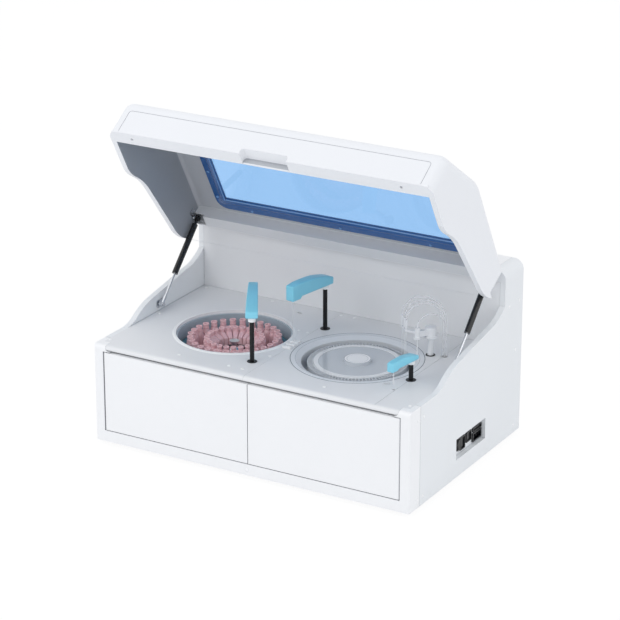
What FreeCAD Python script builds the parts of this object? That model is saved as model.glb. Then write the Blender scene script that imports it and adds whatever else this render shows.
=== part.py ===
import FreeCAD, Part
import math
import os

# Benchtop chemistry analyzer with a hinged lid, in millimetres.
# Origin: centre of the footprint on the bench. +X right, +Y to the back, +Z up.
# The lid, its glazing and its gas struts are stored open.

# Whole body
BODY_WIDTH = 860.0
BODY_DEPTH = 574.0
BODY_HEIGHT = 250.0
HOOD_RISE = 190.0
HOOD_DEPTH = 98.0
FOOT_HEIGHT = 10.0
SHEET = 4.0
CHEEK_WALL = 14.0
CHEEK_SKIRT = 14.0
EDGE_ROLL = 25.0
HINGE_EDGE = 5.0
HOOD_LAP = 7.0
HOOD_BAND = 30.0
SEAM = 0.4
WRAP_SEAM = 1.0
RUN = 0.05
FACE_GAP = 0.3
OVERRUN = 1.0

# Feet and base tray
FOOT_RADIUS = 18.0
FOOT_CHAMFER = 2.0
FOOT_INSET_X = 60.0
FOOT_INSET_Y = 50.0
TRAY_FLOOR = 3.0
TRAY_WALL = 2.0
TRAY_LIP = 18.0

# Chassis inside the casing
POST_SIZE = 22.0
POST_INSET_X = 12.0
FRONT_POST_Y = 28.0
REAR_POST_Y = 94.0
RAIL_HEIGHT = 16.0
BULKHEAD_Y = 62.0
BULKHEAD_WALL = 2.0
BULKHEAD_GAP = 30.0

# Front frame
FRAME_DEPTH = 24.0
FRAME_MARGIN = 25.0
FRAME_BOTTOM = 28.5
FRAME_TOP = 16.0
FRAME_WRAP = 50.0
FRAME_CORNER = 4.0
LIP_HEIGHT = 10.0
CHANNEL_END = 31.5
CHANNEL_ARC = 13.0
CHANNEL_ARC_DROP = 3.0

# Cheek outline above the deck, as shares of its run from front to back and of its rise
CHEEK_FLAT = 125.0
CHEEK_RISE = 101.0
CHEEK_CURVE_SHARES = ((0.071, 0.055), (0.134, 0.168), (0.219, 0.312), (0.333, 0.416),
                      (0.775, 0.673), (0.895, 0.772))

# Deck plates and what is cut in them
DECK_WALL = 4.0
DECK_SPLIT = -12.0
DECK_LINE_X = 334.0
DECK_LINE_WIDTH = 1.0
DECK_LINE_DEPTH = 0.6
OVAL_X = -105.0
OVAL_Y = 136.0
OVAL_LENGTH = 14.0
OVAL_WIDTH = 7.0
TUBE_PORT_X = 336.3
TUBE_PORT_Y = 59.6
TUBE_PORT_RADIUS = 8.5

# Screw caps, by their place from the nearest edges
CAP_RADIUS = 4.5
CAP_HEIGHT = 2.0
FRONT_CAP_Y = 40.0
FRONT_CAPS_FROM_LEFT = (21.0, 217.0, 356.0, 392.6)
FRONT_CAPS_FROM_RIGHT = (246.0, 23.0)
REAR_CAP_Y = 17.5
REAR_CAPS_FROM_LEFT = (29.8, 226.0, 422.0, 460.0)
MID_CAPS = ((-22.5, -145.5), (-46.6, 33.2), (-21.0, 30.0))
EDGE_CAP_FROM_LEFT = 28.0
EDGE_CAP_Y = -40.0
SIDE_CAP_LOW = 21.0
SIDE_CAP_HIGH = 219.0
SIDE_CAPS_FROM_FRONT = (38.0, 65.5)
SIDE_CAPS_FROM_BACK = 35.0
HOOD_CAP_HEIGHT = 342.0
HOOD_CAPS_FROM_BACK = (74.0, 20.0)
FACE_CAP_X = -3.0
FACE_CAP_HEIGHT = 14.0

# Reagent well, tub and carousel
REAGENT_X = -177.0
REAGENT_Y = -54.0
RIM_OUTER = 151.0
RIM_FLAT = 147.0
RIM_INNER = 142.0
RIM_HEIGHT = 2.0
RIM_DROP = 6.0
RIM_SLEEVE = 4.0
TUB_RADIUS = 138.0
TUB_WALL = 3.0
TUB_DEPTH = 116.0
TUB_FLANGE = 154.0
TUB_FLANGE_WALL = 2.5
TUB_FLANGE_LIP = 6.0
TUB_BOSS = 20.0
TUB_BOSS_DROP = 12.0
RACK_RADIUS = 134.0
RACK_WALL = 3.0
RACK_WALL_RADIUS = 122.0
RACK_TOP_DROP = 38.0
RACK_CLEARANCE = 6.0
HUB_RADIUS = 40.0
HUB_DROP = 48.0
SPINDLE_RADIUS = 8.0
SPINDLE_FOOT = 85.0

# Reagent bottles
OUTER_COUNT = 28
OUTER_RING = 107.5
OUTER_PHASE = 123.7
OUTER_BODY = 11.0
OUTER_NECK = 7.0
OUTER_LIP = 8.0
OUTER_BORE = 5.6
OUTER_TOP_DROP = 8.0
OUTER_NECK_HEIGHT = 14.0
OUTER_SHOULDER = 7.0
BOTTLE_LIP_HEIGHT = 3.5
BOTTLE_WALL = 1.4
INNER_COUNT = 24
INNER_RING = 67.5
INNER_PHASE = 119.3
INNER_NEAR = 43.0
INNER_FAR = 76.0
INNER_GAP = 1.4
INNER_NECK = 6.3
INNER_LIP = 7.4
INNER_BORE = 5.0
INNER_TOP_DROP = 12.0
INNER_NECK_HEIGHT = 10.0
INNER_SLOPE_DROP = 9.0
INNER_LAND = 1.1

# Knob on the carousel hub
KNOB_BASE = 14.7
KNOB_WAIST = 8.5
KNOB_TOP = 12.0
KNOB_HEIGHT = 26.0
KNOB_FLARE = 7.0
KNOB_CAP = 4.0
KNOB_HOLE = 2.0
KNOB_HOLE_HEIGHT = 17.0

# Reaction bath and disk
REACTION_X = 162.5
REACTION_Y = -51.0
BEZEL_OUTER = 160.5
BEZEL_CREST = 147.0
BEZEL_INNER = 134.0
BEZEL_DROP = 8.0
BEZEL_WALL = 2.0
BEZEL_FLANGE = 164.0
BATH_WALL = 3.0
BATH_DEPTH = 50.0
BATH_FLOOR = 4.0
BATH_BOSS = 18.0
BATH_BOSS_DROP = 10.0
CUVETTE_OUTER = 119.5
CUVETTE_INNER = 104.5
CUVETTE_TOP_DROP = 10.0
CUVETTE_HEIGHT = 28.0
CELL_COUNT = 88
CELL_PHASE = 0.12
CELL_NEAR = 107.0
CELL_FAR = 118.0
CELL_WIDTH = 5.2
CELL_FLOOR = 2.0
ROTOR_TOP_DROP = 9.0
ROTOR_WALL = 4.0
ROTOR_RING = 93.5
ROTOR_RING_STEP = 0.8
ROTOR_CAP_RADIUS = 34.0
ROTOR_CAP_HEIGHT = 7.0
ROTOR_FLANGE = 4.0

# Arms: each has a column, a hollow cover and a probe
SHAFT_RADIUS = 5.5
COLLAR_RADIUS = 9.0
RING_RADIUS = 12.2
RING_HEIGHT = 1.2
RING_SLEEVE = 9.0
RING_DROP = 12.0
SAMPLE_X = -41.0
SAMPLE_Y = -196.3
SAMPLE_ANGLE = 119.81
SAMPLE_REACH = 142.9
SAMPLE_FRONT = 156.0
SAMPLE_PROBE_TIP = -3.0
REAGENT_ARM_X = 2.6
REAGENT_ARM_Y = 74.7
REAGENT_ARM_ANGLE = -99.15
REAGENT_ARM_REACH = 123.3
REAGENT_ARM_FRONT = 136.0
REAGENT_PROBE_TIP = 8.0
MIXER_X = 336.9
MIXER_Y = -110.1
MIXER_ANGLE = -96.0
MIXER_REACH = 72.0
MIXER_FRONT = 87.0
PADDLE_TIP = 14.0
ARM_REAR = 15.0
SAMPLE_BOTTOM = 107.3
REAGENT_BOTTOM = 110.3
ARM_HEIGHT = 41.2
SAMPLE_HEIGHT = 37.9
ARM_WIDTH = 30.0
ARM_TIP_WIDTH = 23.0
ARM_COLUMN_GAP = 6.0
MIXER_BOTTOM = 46.5
MIXER_HEIGHT = 24.0
MIXER_WIDTH = 25.0
MIXER_TIP_WIDTH = 18.0
COVER_WALL = 2.0
COVER_SIDE_SHARES = ((0.0, 0.138), (0.767, 0.148), (0.81, 0.0), (1.0, 0.0), (1.0, 0.937))
COVER_TOP_SHARES = ((0.847, 1.0), (0.40, 0.925), (0.03, 0.60))
COVER_BOSS_SHARE = 0.30
HOLDER_TOP_SHARE = 0.955
PROBE_RADIUS = 0.8
PROBE_SHEATH = 1.6
PROBE_HOLDER = 4.0
PROBE_SHEATH_DROP = 22.0
PROBE_POINT = 4.0
PADDLE_SHAFT = 1.2
PADDLE_WIDTH = 4.4
PADDLE_WALL = 1.0
PADDLE_HEIGHT = 11.0
PADDLE_COLLAR = 3.0
PADDLE_COLLAR_HEIGHT = 3.0
PADDLE_BUSH_HEIGHT = 4.0

# Arm drives under the deck
CARRIAGE_DROP = 134.0
CARRIAGE_HEIGHT = 16.0
CARRIAGE_BACK = 11.0
CARRIAGE_FRONT = 23.0
CARRIAGE_HALF_WIDTH = 11.0
GUIDE_OFFSET = 18.0
GUIDE_RADIUS = 3.0
DRIVE_PLATE_NEAR = 26.0
DRIVE_PLATE_WALL = 4.0
DRIVE_HALF_WIDTH = 22.0
DRIVE_TOP_DROP = 56.0
DRIVE_SHELF = 4.0
DRIVE_SHELF_HALF_WIDTH = 12.0
DRIVE_LOW_SHELF = 31.0
DRIVE_FOOT_LENGTH = 22.0
SHAFT_COLLAR = 8.0
SHAFT_COLLAR_HEIGHT = 5.6
DRIVE_MOTOR = 28.0
DRIVE_MOTOR_LENGTH = 24.0
DRIVE_MOTOR_HEIGHT = 50.0

# Wash wells between the two disks and under the mixer
WELL_X = -12.5
WELL_LENGTH = 22.0
WELL_WIDTH = 8.0
WELL_HEIGHT = 6.0
WELL_ROWS = (-82.0, -65.0, -47.0, -35.0)
WELL_BORE = 2.6
WELL_TUBE = 4.0
WELL_TUBE_DEPTH = 62.0
WELL_BORE_DEPTH = 60.0
WELL_BORE_OFFSET = -4.5
WELL_ROUND = 2.5
CUP_BORE = 4.2
CUP_RADIUS = 5.6
CUP_DEPTH = 48.0
SLOT_X = 299.4
SLOT_Y = -158.3
SLOT_LENGTH = 17.0
SLOT_WIDTH = 6.0
SLOT_ANGLE = 26.0
SLOT_DEPTH = 20.0
SLOT_WALL = 1.6

# Cuvette wash station
POST_X = 303.7
POST_Y = 51.0
WASH_POST = 7.35
WASH_POST_TOP = 50.0
WASH_RING = 11.6
WASH_COLLAR = 17.0
WASH_COLLAR_HEIGHT = 4.0
WASH_CAP = 13.5
WASH_CAP_HEIGHT = 19.0
WASH_BAR_LOW = 53.0
WASH_BAR_HEIGHT = 14.0
WASH_BAR_WIDTH = 11.0
WASH_HEAD_RING = 141.0
WASH_HEAD_ANGLE = 30.1
WASH_HEAD_RADIUS = 6.5
WASH_HEAD_TOP = 76.0
WASH_FLANGE = 9.8
WASH_FLANGE_LOW = 48.5
WASH_FLANGE_WALL = 3.0
WASH_GUIDE_TIP = 9.0
WASH_GUIDE_PORT = 3.0
NOZZLE_RING = 116.0
NOZZLE_CELLS = (13, 11, 9)
NOZZLE_ANGLES = [CELL_PHASE + k * 360 / CELL_COUNT for k in NOZZLE_CELLS]
NOZZLE_RADIUS = 3.0
NOZZLE_LOW = 66.0
NOZZLE_TOP = 90.0
NOZZLE_PLATE = 4.0
NOZZLE_PLATE_WIDTH = 7.0
NOZZLE_TIP = -6.0
TUBE_RADIUS = 1.6
TUBE_DROP = 16.0
TUBE_SPREAD = 4.0

# Side connectors in their recess
RECESS_FRONT = -54.0
RECESS_BACK = 98.0
RECESS_LOW = 44.5
RECESS_HIGH = 97.5
RECESS_DEPTH = 13.0
RECESS_WALL = 2.0
PORT_PROUD = 4.0
BOARD_X = 46.0
BOARD_WALL = 2.0
BOARD_FRONT = -62.0
BOARD_BACK = 108.0
BOARD_TOP = 130.0
PORTS = ((-13.0, 15.0, 52.0, 85.0), (18.0, 48.0, 60.0, 86.0), (53.0, 100.0, 74.0, 84.0))
PORT_BACK_MARGIN = 4.0
PORT_SOCKET_WALL = 2.5
PORT_SOCKET_DEPTH = 3.0
INLET_FRONT = 51.0
INLET_BACK = 96.0
INLET_LOW = 49.0
INLET_HIGH = 71.0
INLET_WALL = 3.0
INLET_DEPTH = 17.0
INLET_PIN = 2.0
INLET_PIN_HEIGHT = 5.0
INLET_PIN_PITCH = 12.0
SWITCH_FRONT = -29.0
SWITCH_BACK = -14.0
SWITCH_LOW = 56.0
SWITCH_HIGH = 87.0
SWITCH_FRAME = 2.0
SWITCH_DEPTH = 12.0
SWITCH_PROUD = 3.0
SWITCH_PIN = 1.5

# Doors
DOOR_WALL = 3.0
DOOR_DEPTH = 14.0
DOOR_GAP = 2.0
DOOR_PIVOT = 4.0
DOOR_PIN = 1.5
DOOR_PIN_LENGTH = 7.0
DOOR_RIB = 3.0
DOOR_PIN_SOCKET = 10.0

# Hood vents and fan
VENT_COUNT = 9
VENT_LENGTH = 90.0
VENT_WIDTH = 5.0
VENT_PITCH = 12.0
VENT_X = -240.0
VENT_HEIGHT = 120.0
FAN_X = 210.0
FAN_HEIGHT = 140.0
FAN_SIZE = 92.0
FAN_DEPTH = 25.0
FAN_BORE = 42.0
FAN_HUB = 17.0
FAN_PIN = 2.0
FAN_SPOKE = 5.0
FAN_SPOKE_WALL = 3.0
FAN_BLADES = 7
FAN_BLADE_WALL = 1.8
FAN_BLADE_SPAN = 39.0
FAN_BLADE_DEPTH = 11.0
FAN_BLADE_PITCH = 38.0
FAN_ROTOR_DEPTH = 15.0
GRILLE_SLOTS = 9
GRILLE_SLOT = 5.0

# Boxes on the base tray
SUPPLY_X = 40.0
SUPPLY_Y = 20.0
SUPPLY_LENGTH = 150.0
SUPPLY_WIDTH = 120.0
SUPPLY_HEIGHT = 60.0
PUMP_FROM_LEFT = 100.0
PUMP_PITCH = 68.0
PUMP_Y = 140.0
PUMP_RADIUS = 24.0
PUMP_HEIGHT = 44.0
PUMP_HEAD = 18.0
PUMP_HEAD_HEIGHT = 16.0
PUMP_BASE = 60.0
PUMP_BASE_HEIGHT = 8.0
COOLER_X = -255.0
COOLER_SIZE = 80.0
COOLER_PLATE = 8.0
COOLER_FINS = 9
COOLER_FIN_WALL = 2.0
COOLER_FIN_HEIGHT = 40.0
DISK_MOTOR = 56.0
DISK_MOTOR_SPINDLE = 4.0
DISK_MOTOR_NOSE = 6.0

# Syringe pump in the service bay
SYRINGE_PLATE = 4.0
SYRINGE_PLATE_HALF = 44.0
SYRINGE_PLATE_LOW = 31.0
SYRINGE_VALVE_LOW = 170.0
SYRINGE_VALVE_HEIGHT = 25.0
SYRINGE_VALVE_DEPTH = 24.0
SYRINGE_X = 24.0
SYRINGE_Y = 14.0
BARREL_RADIUS = 6.5
BARREL_BORE = 5.0
BARREL_LENGTH = 60.0
PLUNGER_HEAD = 6.0
PLUNGER_ROD = 3.0
CROSSBAR_LOW = 66.0
CROSSBAR_HEIGHT = 8.0
CROSSBAR_HALF = 34.0
CROSSBAR_DEPTH = 12.0
SCREW_RADIUS = 4.0
SCREW_SHELF = 6.0
SCREW_MOTOR = 28.0

# Lid: shell, glazing, hinges
LID_GAP = 2.0
LID_REAR_GAP = 2.0
LID_SKIN = 4.0
LID_FRONT_LEAN = 8.0
LID_FRONT_RISE = 94.0
LID_FLAT_START = 192.6
LID_FLAT_ARC = (171.3, 151.4)
LID_FLAT_ARC_RISE_SHARES = (0.9856, 0.9433)
LID_NOSE_RADIUS = 28.0
LID_INNER_RADIUS = 10.0
LID_RIM_DEPTH = 35.0
LID_BOX_DEPTH = 34.0
LID_BOX_DROP = 37.0
LID_BOX_INSET = 42.0
LID_BOX_RELIEF = 8.5
LID_BOX_WALL = 3.0
LID_RIM_WALL = 24.0
LID_GROOVE = 1.2
LID_GROOVE_INSET = 28.0
LID_GROOVE_TOP = 68.0
LID_GROOVE_CORNER = 8.0
NOTCH_LEFT = -68.0
NOTCH_RIGHT = 57.5
NOTCH_HEIGHT = 16.0
NOTCH_DEPTH = 33.4
NOTCH_CORNER = 8.0
RIM_HOLES_FROM_SIDE = (63.0, 80.0)
RIM_HOLE_Y = 18.0
RIM_HOLE_RADIUS = 3.5
WINDOW_INSET_X = 82.0
WINDOW_REAR = 55.0
WINDOW_FRONT = 200.0
WINDOW_LIP = 14.0
WINDOW_FRAME_SIDE = 30.0
WINDOW_FRAME_END = 36.0
WINDOW_FRAME_CORNER = 30.0
WINDOW_FRAME_DEPTH = 10.0
WINDOW_PANE = 4.0
WINDOW_PANE_LAP = 6.0
HINGE_DROP = 4.0
HINGE_SPACING = 280.0
HINGE_HALF = 30.0
HINGE_KNUCKLE = 10.0
HINGE_RADIUS = 3.5
HINGE_CLEAR = 4.2
HINGE_PIN = 1.5
HINGE_LEAF = 2.5
HINGE_LEAF_DROP = 24.0
LID_OPEN_ANGLE = 60.8

# Gas struts, in the body's side planes
STRUT_INSET = 24.0
STRUT_LOW_Y = 263.2
STRUT_LOW_Z = 18.3
STRUT_HIGH_Y = 432.8
STRUT_HIGH_Z = 192.2
STRUT_HIGH_CLOSED_Y = 449.2
STRUT_HIGH_CLOSED_Z = 151.7
STRUT_ROD = 3.0
STRUT_ROD_GAP = 0.1
STRUT_TUBE = 7.5
STRUT_TUBE_START = 86.6
STRUT_TUBE_END = 226.2
STRUT_TUBE_CAP = 5.0
STRUT_ROD_END = 200.0
STRUT_EYE = 6.0
STRUT_EYE_HALF = 5.0
STRUT_NECK = 4.0
STRUT_SOCKET = 4.7
STRUT_SOCKET_END = 24.0
STUD_RADIUS = 3.0
STUD_HEAD = 4.6
STUD_HEAD_HEIGHT = 1.8
BRACKET_WALL = 2.0
BRACKET_WIDTH = 18.0
BRACKET_ABOVE = 9.0
BRACKET_BELOW = 27.0
BRACKET_CORNER = 4.0
BRACKET_SCREW = 2.6
BRACKET_SCREW_HEIGHT = 1.2
BRACKET_SCREW_DROP = 12.0
BRACKET_SCREW_PITCH = 9.0

# Levels and edges that several pieces share
BASE = FOOT_HEIGHT
DECK = BASE + BODY_HEIGHT
HOOD = DECK + HOOD_RISE
RIGHT = BODY_WIDTH / 2
LEFT = -RIGHT
BACK = BODY_DEPTH / 2
FRONT = -BACK
WALL_Y = BACK - HOOD_DEPTH
TRAY_TOP = BASE + TRAY_FLOOR
CHEEK_FACE = RIGHT - CHEEK_WALL
SIDE_FACE = RIGHT - SHEET
DECK_UNDER = DECK - DECK_WALL
REAR_FACE = BACK - SHEET
HOOD_EDGE = RIGHT - EDGE_ROLL - HOOD_LAP
HINGE_Y = WALL_Y - SEAM
HINGE_Z = HOOD - HINGE_DROP
HINGE_XS = (-HINGE_SPACING, 0, HINGE_SPACING)


def at(x, y, z):
    return FreeCAD.Vector(x, y, z)


def block(x0, x1, y0, y1, z0, z1):
    return Part.makeBox(x1 - x0, y1 - y0, z1 - z0, at(x0, y0, z0))


def rod(x, y, z0, z1, radius, bore=0):
    solid = Part.makeCylinder(radius, z1 - z0, at(x, y, z0))
    if bore:
        hole = Part.makeCylinder(bore, z1 - z0 + 2 * OVERRUN, at(x, y, z0 - OVERRUN))
        solid = solid.cut(hole)
    return solid


def rod_x(x0, x1, y, z, radius):
    return Part.makeCylinder(radius, x1 - x0, at(x0, y, z), at(1, 0, 0))


def rod_y(y0, y1, x, z, radius):
    return Part.makeCylinder(radius, y1 - y0, at(x, y0, z), at(0, 1, 0))


def turned(points, x, y):
    """A solid of revolution about a vertical axis, from its (radius, height) outline."""
    corners = [at(r, 0, z) for r, z in points]
    face = Part.Face(Part.makePolygon(corners + [corners[0]]))
    solid = face.revolve(at(0, 0, 0), at(0, 0, 1), 360)
    solid.translate(at(x, y, 0))
    return solid


def outline(points, place):
    """A closed wire. A point given as ("arc", via, end) bends the edge towards it."""
    edges = []
    last = points[0]
    for point in points[1:] + [points[0]]:
        if point[0] == "arc":
            edges.append(Part.Arc(place(last), place(point[1]), place(point[2])).toShape())
            last = point[2]
        else:
            if place(last).distanceToPoint(place(point)) > 0:
                edges.append(Part.LineSegment(place(last), place(point)).toShape())
            last = point
    return Part.Face(Part.Wire(edges))


def prism_x(points, x0, x1):
    face = outline(points, lambda p: at(x0, p[0], p[1]))
    return face.extrude(at(x1 - x0, 0, 0))


def prism_y(points, y0, y1):
    face = outline(points, lambda p: at(p[0], y0, p[1]))
    return face.extrude(at(0, y1 - y0, 0))


def prism_z(points, z0, z1):
    face = outline(points, lambda p: at(p[0], p[1], z0))
    return face.extrude(at(0, 0, z1 - z0))


def rounded(u0, u1, v0, v1, r):
    """Points of a rectangle with round corners."""
    k = r * (1 - math.cos(math.radians(45)))
    return [(u0 + r, v0), (u1 - r, v0), ("arc", (u1 - k, v0 + k), (u1, v0 + r)),
            (u1, v1 - r), ("arc", (u1 - k, v1 - k), (u1 - r, v1)),
            (u0 + r, v1), ("arc", (u0 + k, v1 - k), (u0, v1 - r)),
            (u0, v0 + r), ("arc", (u0 + k, v0 + k), (u0 + r, v0))]


def bend(before, corner, after, r):
    """The tangent arc that rounds a corner of a path: its start, then the arc."""
    u = unit(corner, before)
    w = unit(corner, after)
    half = math.acos(u[0] * w[0] + u[1] * w[1]) / 2
    reach = r / math.tan(half)
    middle = (r / math.sin(half) - r) / math.hypot(u[0] + w[0], u[1] + w[1])
    via = (corner[0] + (u[0] + w[0]) * middle, corner[1] + (u[1] + w[1]) * middle)
    return [(corner[0] + u[0] * reach, corner[1] + u[1] * reach),
            ("arc", via, (corner[0] + w[0] * reach, corner[1] + w[1] * reach))]


def unit(start, end):
    length = math.hypot(end[0] - start[0], end[1] - start[1])
    return (end[0] - start[0]) / length, (end[1] - start[1]) / length


def fuse(solids):
    whole = solids[0].multiFuse(solids[1:]) if len(solids) > 1 else solids[0]
    return whole.removeSplitter()


def group(solids):
    return Part.makeCompound(solids)


def mirrored(shape):
    return shape.mirror(at(0, 0, 0), at(1, 0, 0))


def turn(shape, x, y, angle):
    copy = shape.copy()
    copy.rotate(at(x, y, 0), at(0, 0, 1), angle)
    return copy


def ring_place(x, y, radius, angle):
    a = math.radians(angle)
    return x + radius * math.cos(a), y + radius * math.sin(a)


def save(name, shape):
    solids = shape.Solids
    assert solids and all(s.isValid() for s in solids), name
    out = solids[0] if len(solids) == 1 else Part.makeCompound(solids)
    out.exportStep("parts/" + name + ".step")
    print(name, len(solids), round(sum(s.Volume for s in solids)))


# Casing

def foot(x, y):
    return turned([(0, 0), (FOOT_RADIUS - FOOT_CHAMFER, 0), (FOOT_RADIUS, FOOT_CHAMFER),
                   (FOOT_RADIUS, FOOT_HEIGHT), (0, FOOT_HEIGHT)], x, y)


def feet():
    x = RIGHT - FOOT_INSET_X
    y = BACK - FOOT_INSET_Y
    return group([foot(sx * x, sy * y) for sx in (-1, 1) for sy in (-1, 1)])


def base_tray():
    x = SIDE_FACE
    y0 = FRONT + FRAME_DEPTH
    pan = block(-x, x, y0, REAR_FACE, BASE, TRAY_TOP + TRAY_LIP)
    hollow = block(-x + TRAY_WALL, x - TRAY_WALL, y0 + TRAY_WALL, REAR_FACE - TRAY_WALL,
                   TRAY_TOP, TRAY_TOP + TRAY_LIP + OVERRUN)
    return pan.cut(hollow)


def chassis_frame():
    top = DECK_UNDER
    under = top - RAIL_HEIGHT
    x1 = CHEEK_FACE - POST_INSET_X
    x0 = x1 - POST_SIZE
    front = FRONT + FRONT_POST_Y
    rear = BACK - REAR_POST_Y
    pieces = []
    for y in (front, rear):
        for side in (-1, 1):
            post = block(x0, x1, y, y + POST_SIZE, TRAY_TOP, under)
            pieces.append(post if side > 0 else mirrored(post))
        pieces.append(block(-x1, x1, y, y + POST_SIZE, under, top))
    bulkhead = BULKHEAD_Y + FRONT
    pieces.append(block(-x1 + BULKHEAD_GAP, x1 - BULKHEAD_GAP, bulkhead, bulkhead + BULKHEAD_WALL,
                        TRAY_TOP, under - RAIL_HEIGHT))
    return group(pieces)


def corner_block():
    """Top corner of the front frame with the curved end of the finger channel."""
    low = DECK - FRAME_TOP
    arc_x = CHANNEL_END + CHANNEL_ARC
    arc_z = DECK - CHANNEL_ARC_DROP
    k = CHANNEL_ARC * math.cos(math.radians(45))
    side = prism_y([(LEFT, low), (LEFT + arc_x, low), (LEFT + arc_x, arc_z - CHANNEL_ARC),
                    ("arc", (LEFT + arc_x - k, arc_z - k), (LEFT + CHANNEL_END, arc_z)),
                    (LEFT + CHANNEL_END, DECK), (LEFT, DECK)], FRONT, FRONT + FRAME_DEPTH)
    return side.common(prism_x(lip_profile(low, FRAME_DEPTH), LEFT, LEFT + arc_x))


def lip_profile(low, depth):
    """Front edge of the deck, rounded over at the top."""
    k = LIP_HEIGHT * (1 - math.cos(math.radians(45)))
    return [(FRONT, low), (FRONT + depth, low), (FRONT + depth, DECK), (FRONT + LIP_HEIGHT, DECK),
            ("arc", (FRONT + k, DECK - k), (FRONT, DECK - LIP_HEIGHT))]


def front_frame():
    low = DECK - FRAME_TOP
    outer = block(LEFT, RIGHT, FRONT, FRONT + FRAME_DEPTH, BASE, low)
    opening = block(LEFT + FRAME_MARGIN, RIGHT - FRAME_MARGIN, FRONT - OVERRUN,
                    FRONT + FRAME_DEPTH + OVERRUN, BASE + FRAME_BOTTOM, low + OVERRUN)
    rail = block(LEFT + FRAME_MARGIN, RIGHT - FRAME_MARGIN, FRONT + LIP_HEIGHT,
                 FRONT + FRAME_DEPTH, low, DECK_UNDER)
    wrap_end = FRONT + FRAME_WRAP - WRAP_SEAM
    left = [corner_block(),
            block(LEFT, LEFT + SHEET, FRONT, wrap_end, BASE, DECK - CHEEK_SKIRT),
            block(LEFT, -CHEEK_FACE, FRONT + FRAME_DEPTH, wrap_end, DECK - CHEEK_SKIRT, DECK)]
    whole = fuse([outer.cut(opening), rail] + left + [mirrored(p) for p in left])
    k = FRAME_CORNER * (1 - math.cos(math.radians(45)))
    plan = [(LEFT + FRAME_CORNER, FRONT), (RIGHT - FRAME_CORNER, FRONT),
            ("arc", (RIGHT - k, FRONT + k), (RIGHT, FRONT + FRAME_CORNER)), (RIGHT, BACK), (LEFT, BACK),
            (LEFT, FRONT + FRAME_CORNER), ("arc", (LEFT + k, FRONT + k), (LEFT + FRAME_CORNER, FRONT))]
    whole = whole.common(prism_z(plan, BASE, DECK))
    return whole.cut(group(door_pin_holes()))


def door_pin_holes():
    low = BASE + FRAME_BOTTOM
    high = DECK - FRAME_TOP
    x = RIGHT - FRAME_MARGIN - DOOR_GAP - DOOR_PIVOT
    y = FRONT + DOOR_PIVOT
    holes = []
    for side in (-1, 1):
        holes.append(rod(side * x, y, low - DOOR_PIN_LENGTH, low, DOOR_PIN))
        holes.append(rod(side * x, y, high, high + DOOR_PIN_LENGTH, DOOR_PIN))
    return holes


def cheek_points(raise_by, start, end, low):
    """Side outline: flat, an S-bend up to a gentle slope, then a steeper rise to the hinge."""
    run = WALL_Y - (FRONT + CHEEK_FLAT)
    base = DECK + raise_by
    c = [(FRONT + CHEEK_FLAT + u * run, base + v * CHEEK_RISE) for u, v in CHEEK_CURVE_SHARES]
    return [(start, low), (start, base), (FRONT + CHEEK_FLAT, base),
            ("arc", c[0], c[1]), ("arc", c[2], c[3]), c[4],
            ("arc", c[5], (WALL_Y, base + CHEEK_RISE)), (end, base + CHEEK_RISE), (end, low)]


def roll_profile(outer, inner_x, low):
    """Side wall of the hood rolled over into its top, as seen from the front."""
    r = EDGE_ROLL if outer else EDGE_ROLL - SHEET
    x = RIGHT if outer else SIDE_FACE
    z = HOOD if outer else HOOD - SHEET
    k = r * (1 - math.cos(math.radians(45)))
    return [(x, low), (x, z - r), ("arc", (x - k, z - k), (x - r, z)), (inner_x, z)]


def hood_side():
    low = DECK - CHEEK_SKIRT
    outer = roll_profile(True, HOOD_EDGE, low)
    inner = roll_profile(False, HOOD_EDGE, low)
    flat = [inner[3], (inner[2][2][0], inner[2][2][1])]
    path = outer + flat + [("arc", inner[2][1], inner[1]), inner[0]]
    wall = prism_y(path, WALL_Y, BACK)
    face = outer + [(HOOD_EDGE, HOOD - HOOD_BAND), (CHEEK_FACE, HOOD - HOOD_BAND), (CHEEK_FACE, low)]
    front = prism_y(face, WALL_Y, WALL_Y + SHEET)
    return [wall, front]


def hinge_edge_cut(y, direction):
    """What is taken off the top edge beside the hinge line to round it."""
    r = HINGE_EDGE
    k = r * (1 - math.cos(math.radians(45)))
    d = direction
    return prism_x([(y, HOOD - r), ("arc", (y + d * k, HOOD - k), (y + d * r, HOOD)),
                    (y + d * r, HOOD + OVERRUN), (y - d * OVERRUN, HOOD + OVERRUN),
                    (y - d * OVERRUN, HOOD - r)], LEFT - OVERRUN, RIGHT + OVERRUN)


def side_panel():
    low = DECK - CHEEK_SKIRT
    sheet = block(SIDE_FACE, RIGHT, FRONT + FRAME_WRAP, BACK, BASE, low)
    cheek = prism_x(cheek_points(0, FRONT + FRAME_WRAP, WALL_Y + SHEET, low), CHEEK_FACE, RIGHT)
    whole = fuse([sheet, cheek] + hood_side())
    return whole.cut(hinge_edge_cut(WALL_Y, 1))


def recess():
    """Pressed recess that holds the sockets, and the opening for it."""
    x0 = RIGHT - RECESS_DEPTH - RECESS_WALL
    low = BASE + RECESS_LOW
    high = BASE + RECESS_HIGH
    tray = block(x0, RIGHT - SHEET, RECESS_FRONT - RECESS_WALL, RECESS_BACK + RECESS_WALL,
                 low - RECESS_WALL, high + RECESS_WALL)
    hollow = block(x0 + RECESS_WALL, RIGHT + OVERRUN, RECESS_FRONT, RECESS_BACK, low, high)
    return tray, hollow


def right_side_panel():
    tray, hollow = recess()
    whole = fuse([side_panel(), tray]).cut(hollow)
    return whole.cut(group(port_bodies() + [inlet_body(), switch_frame_body()]))


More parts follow.
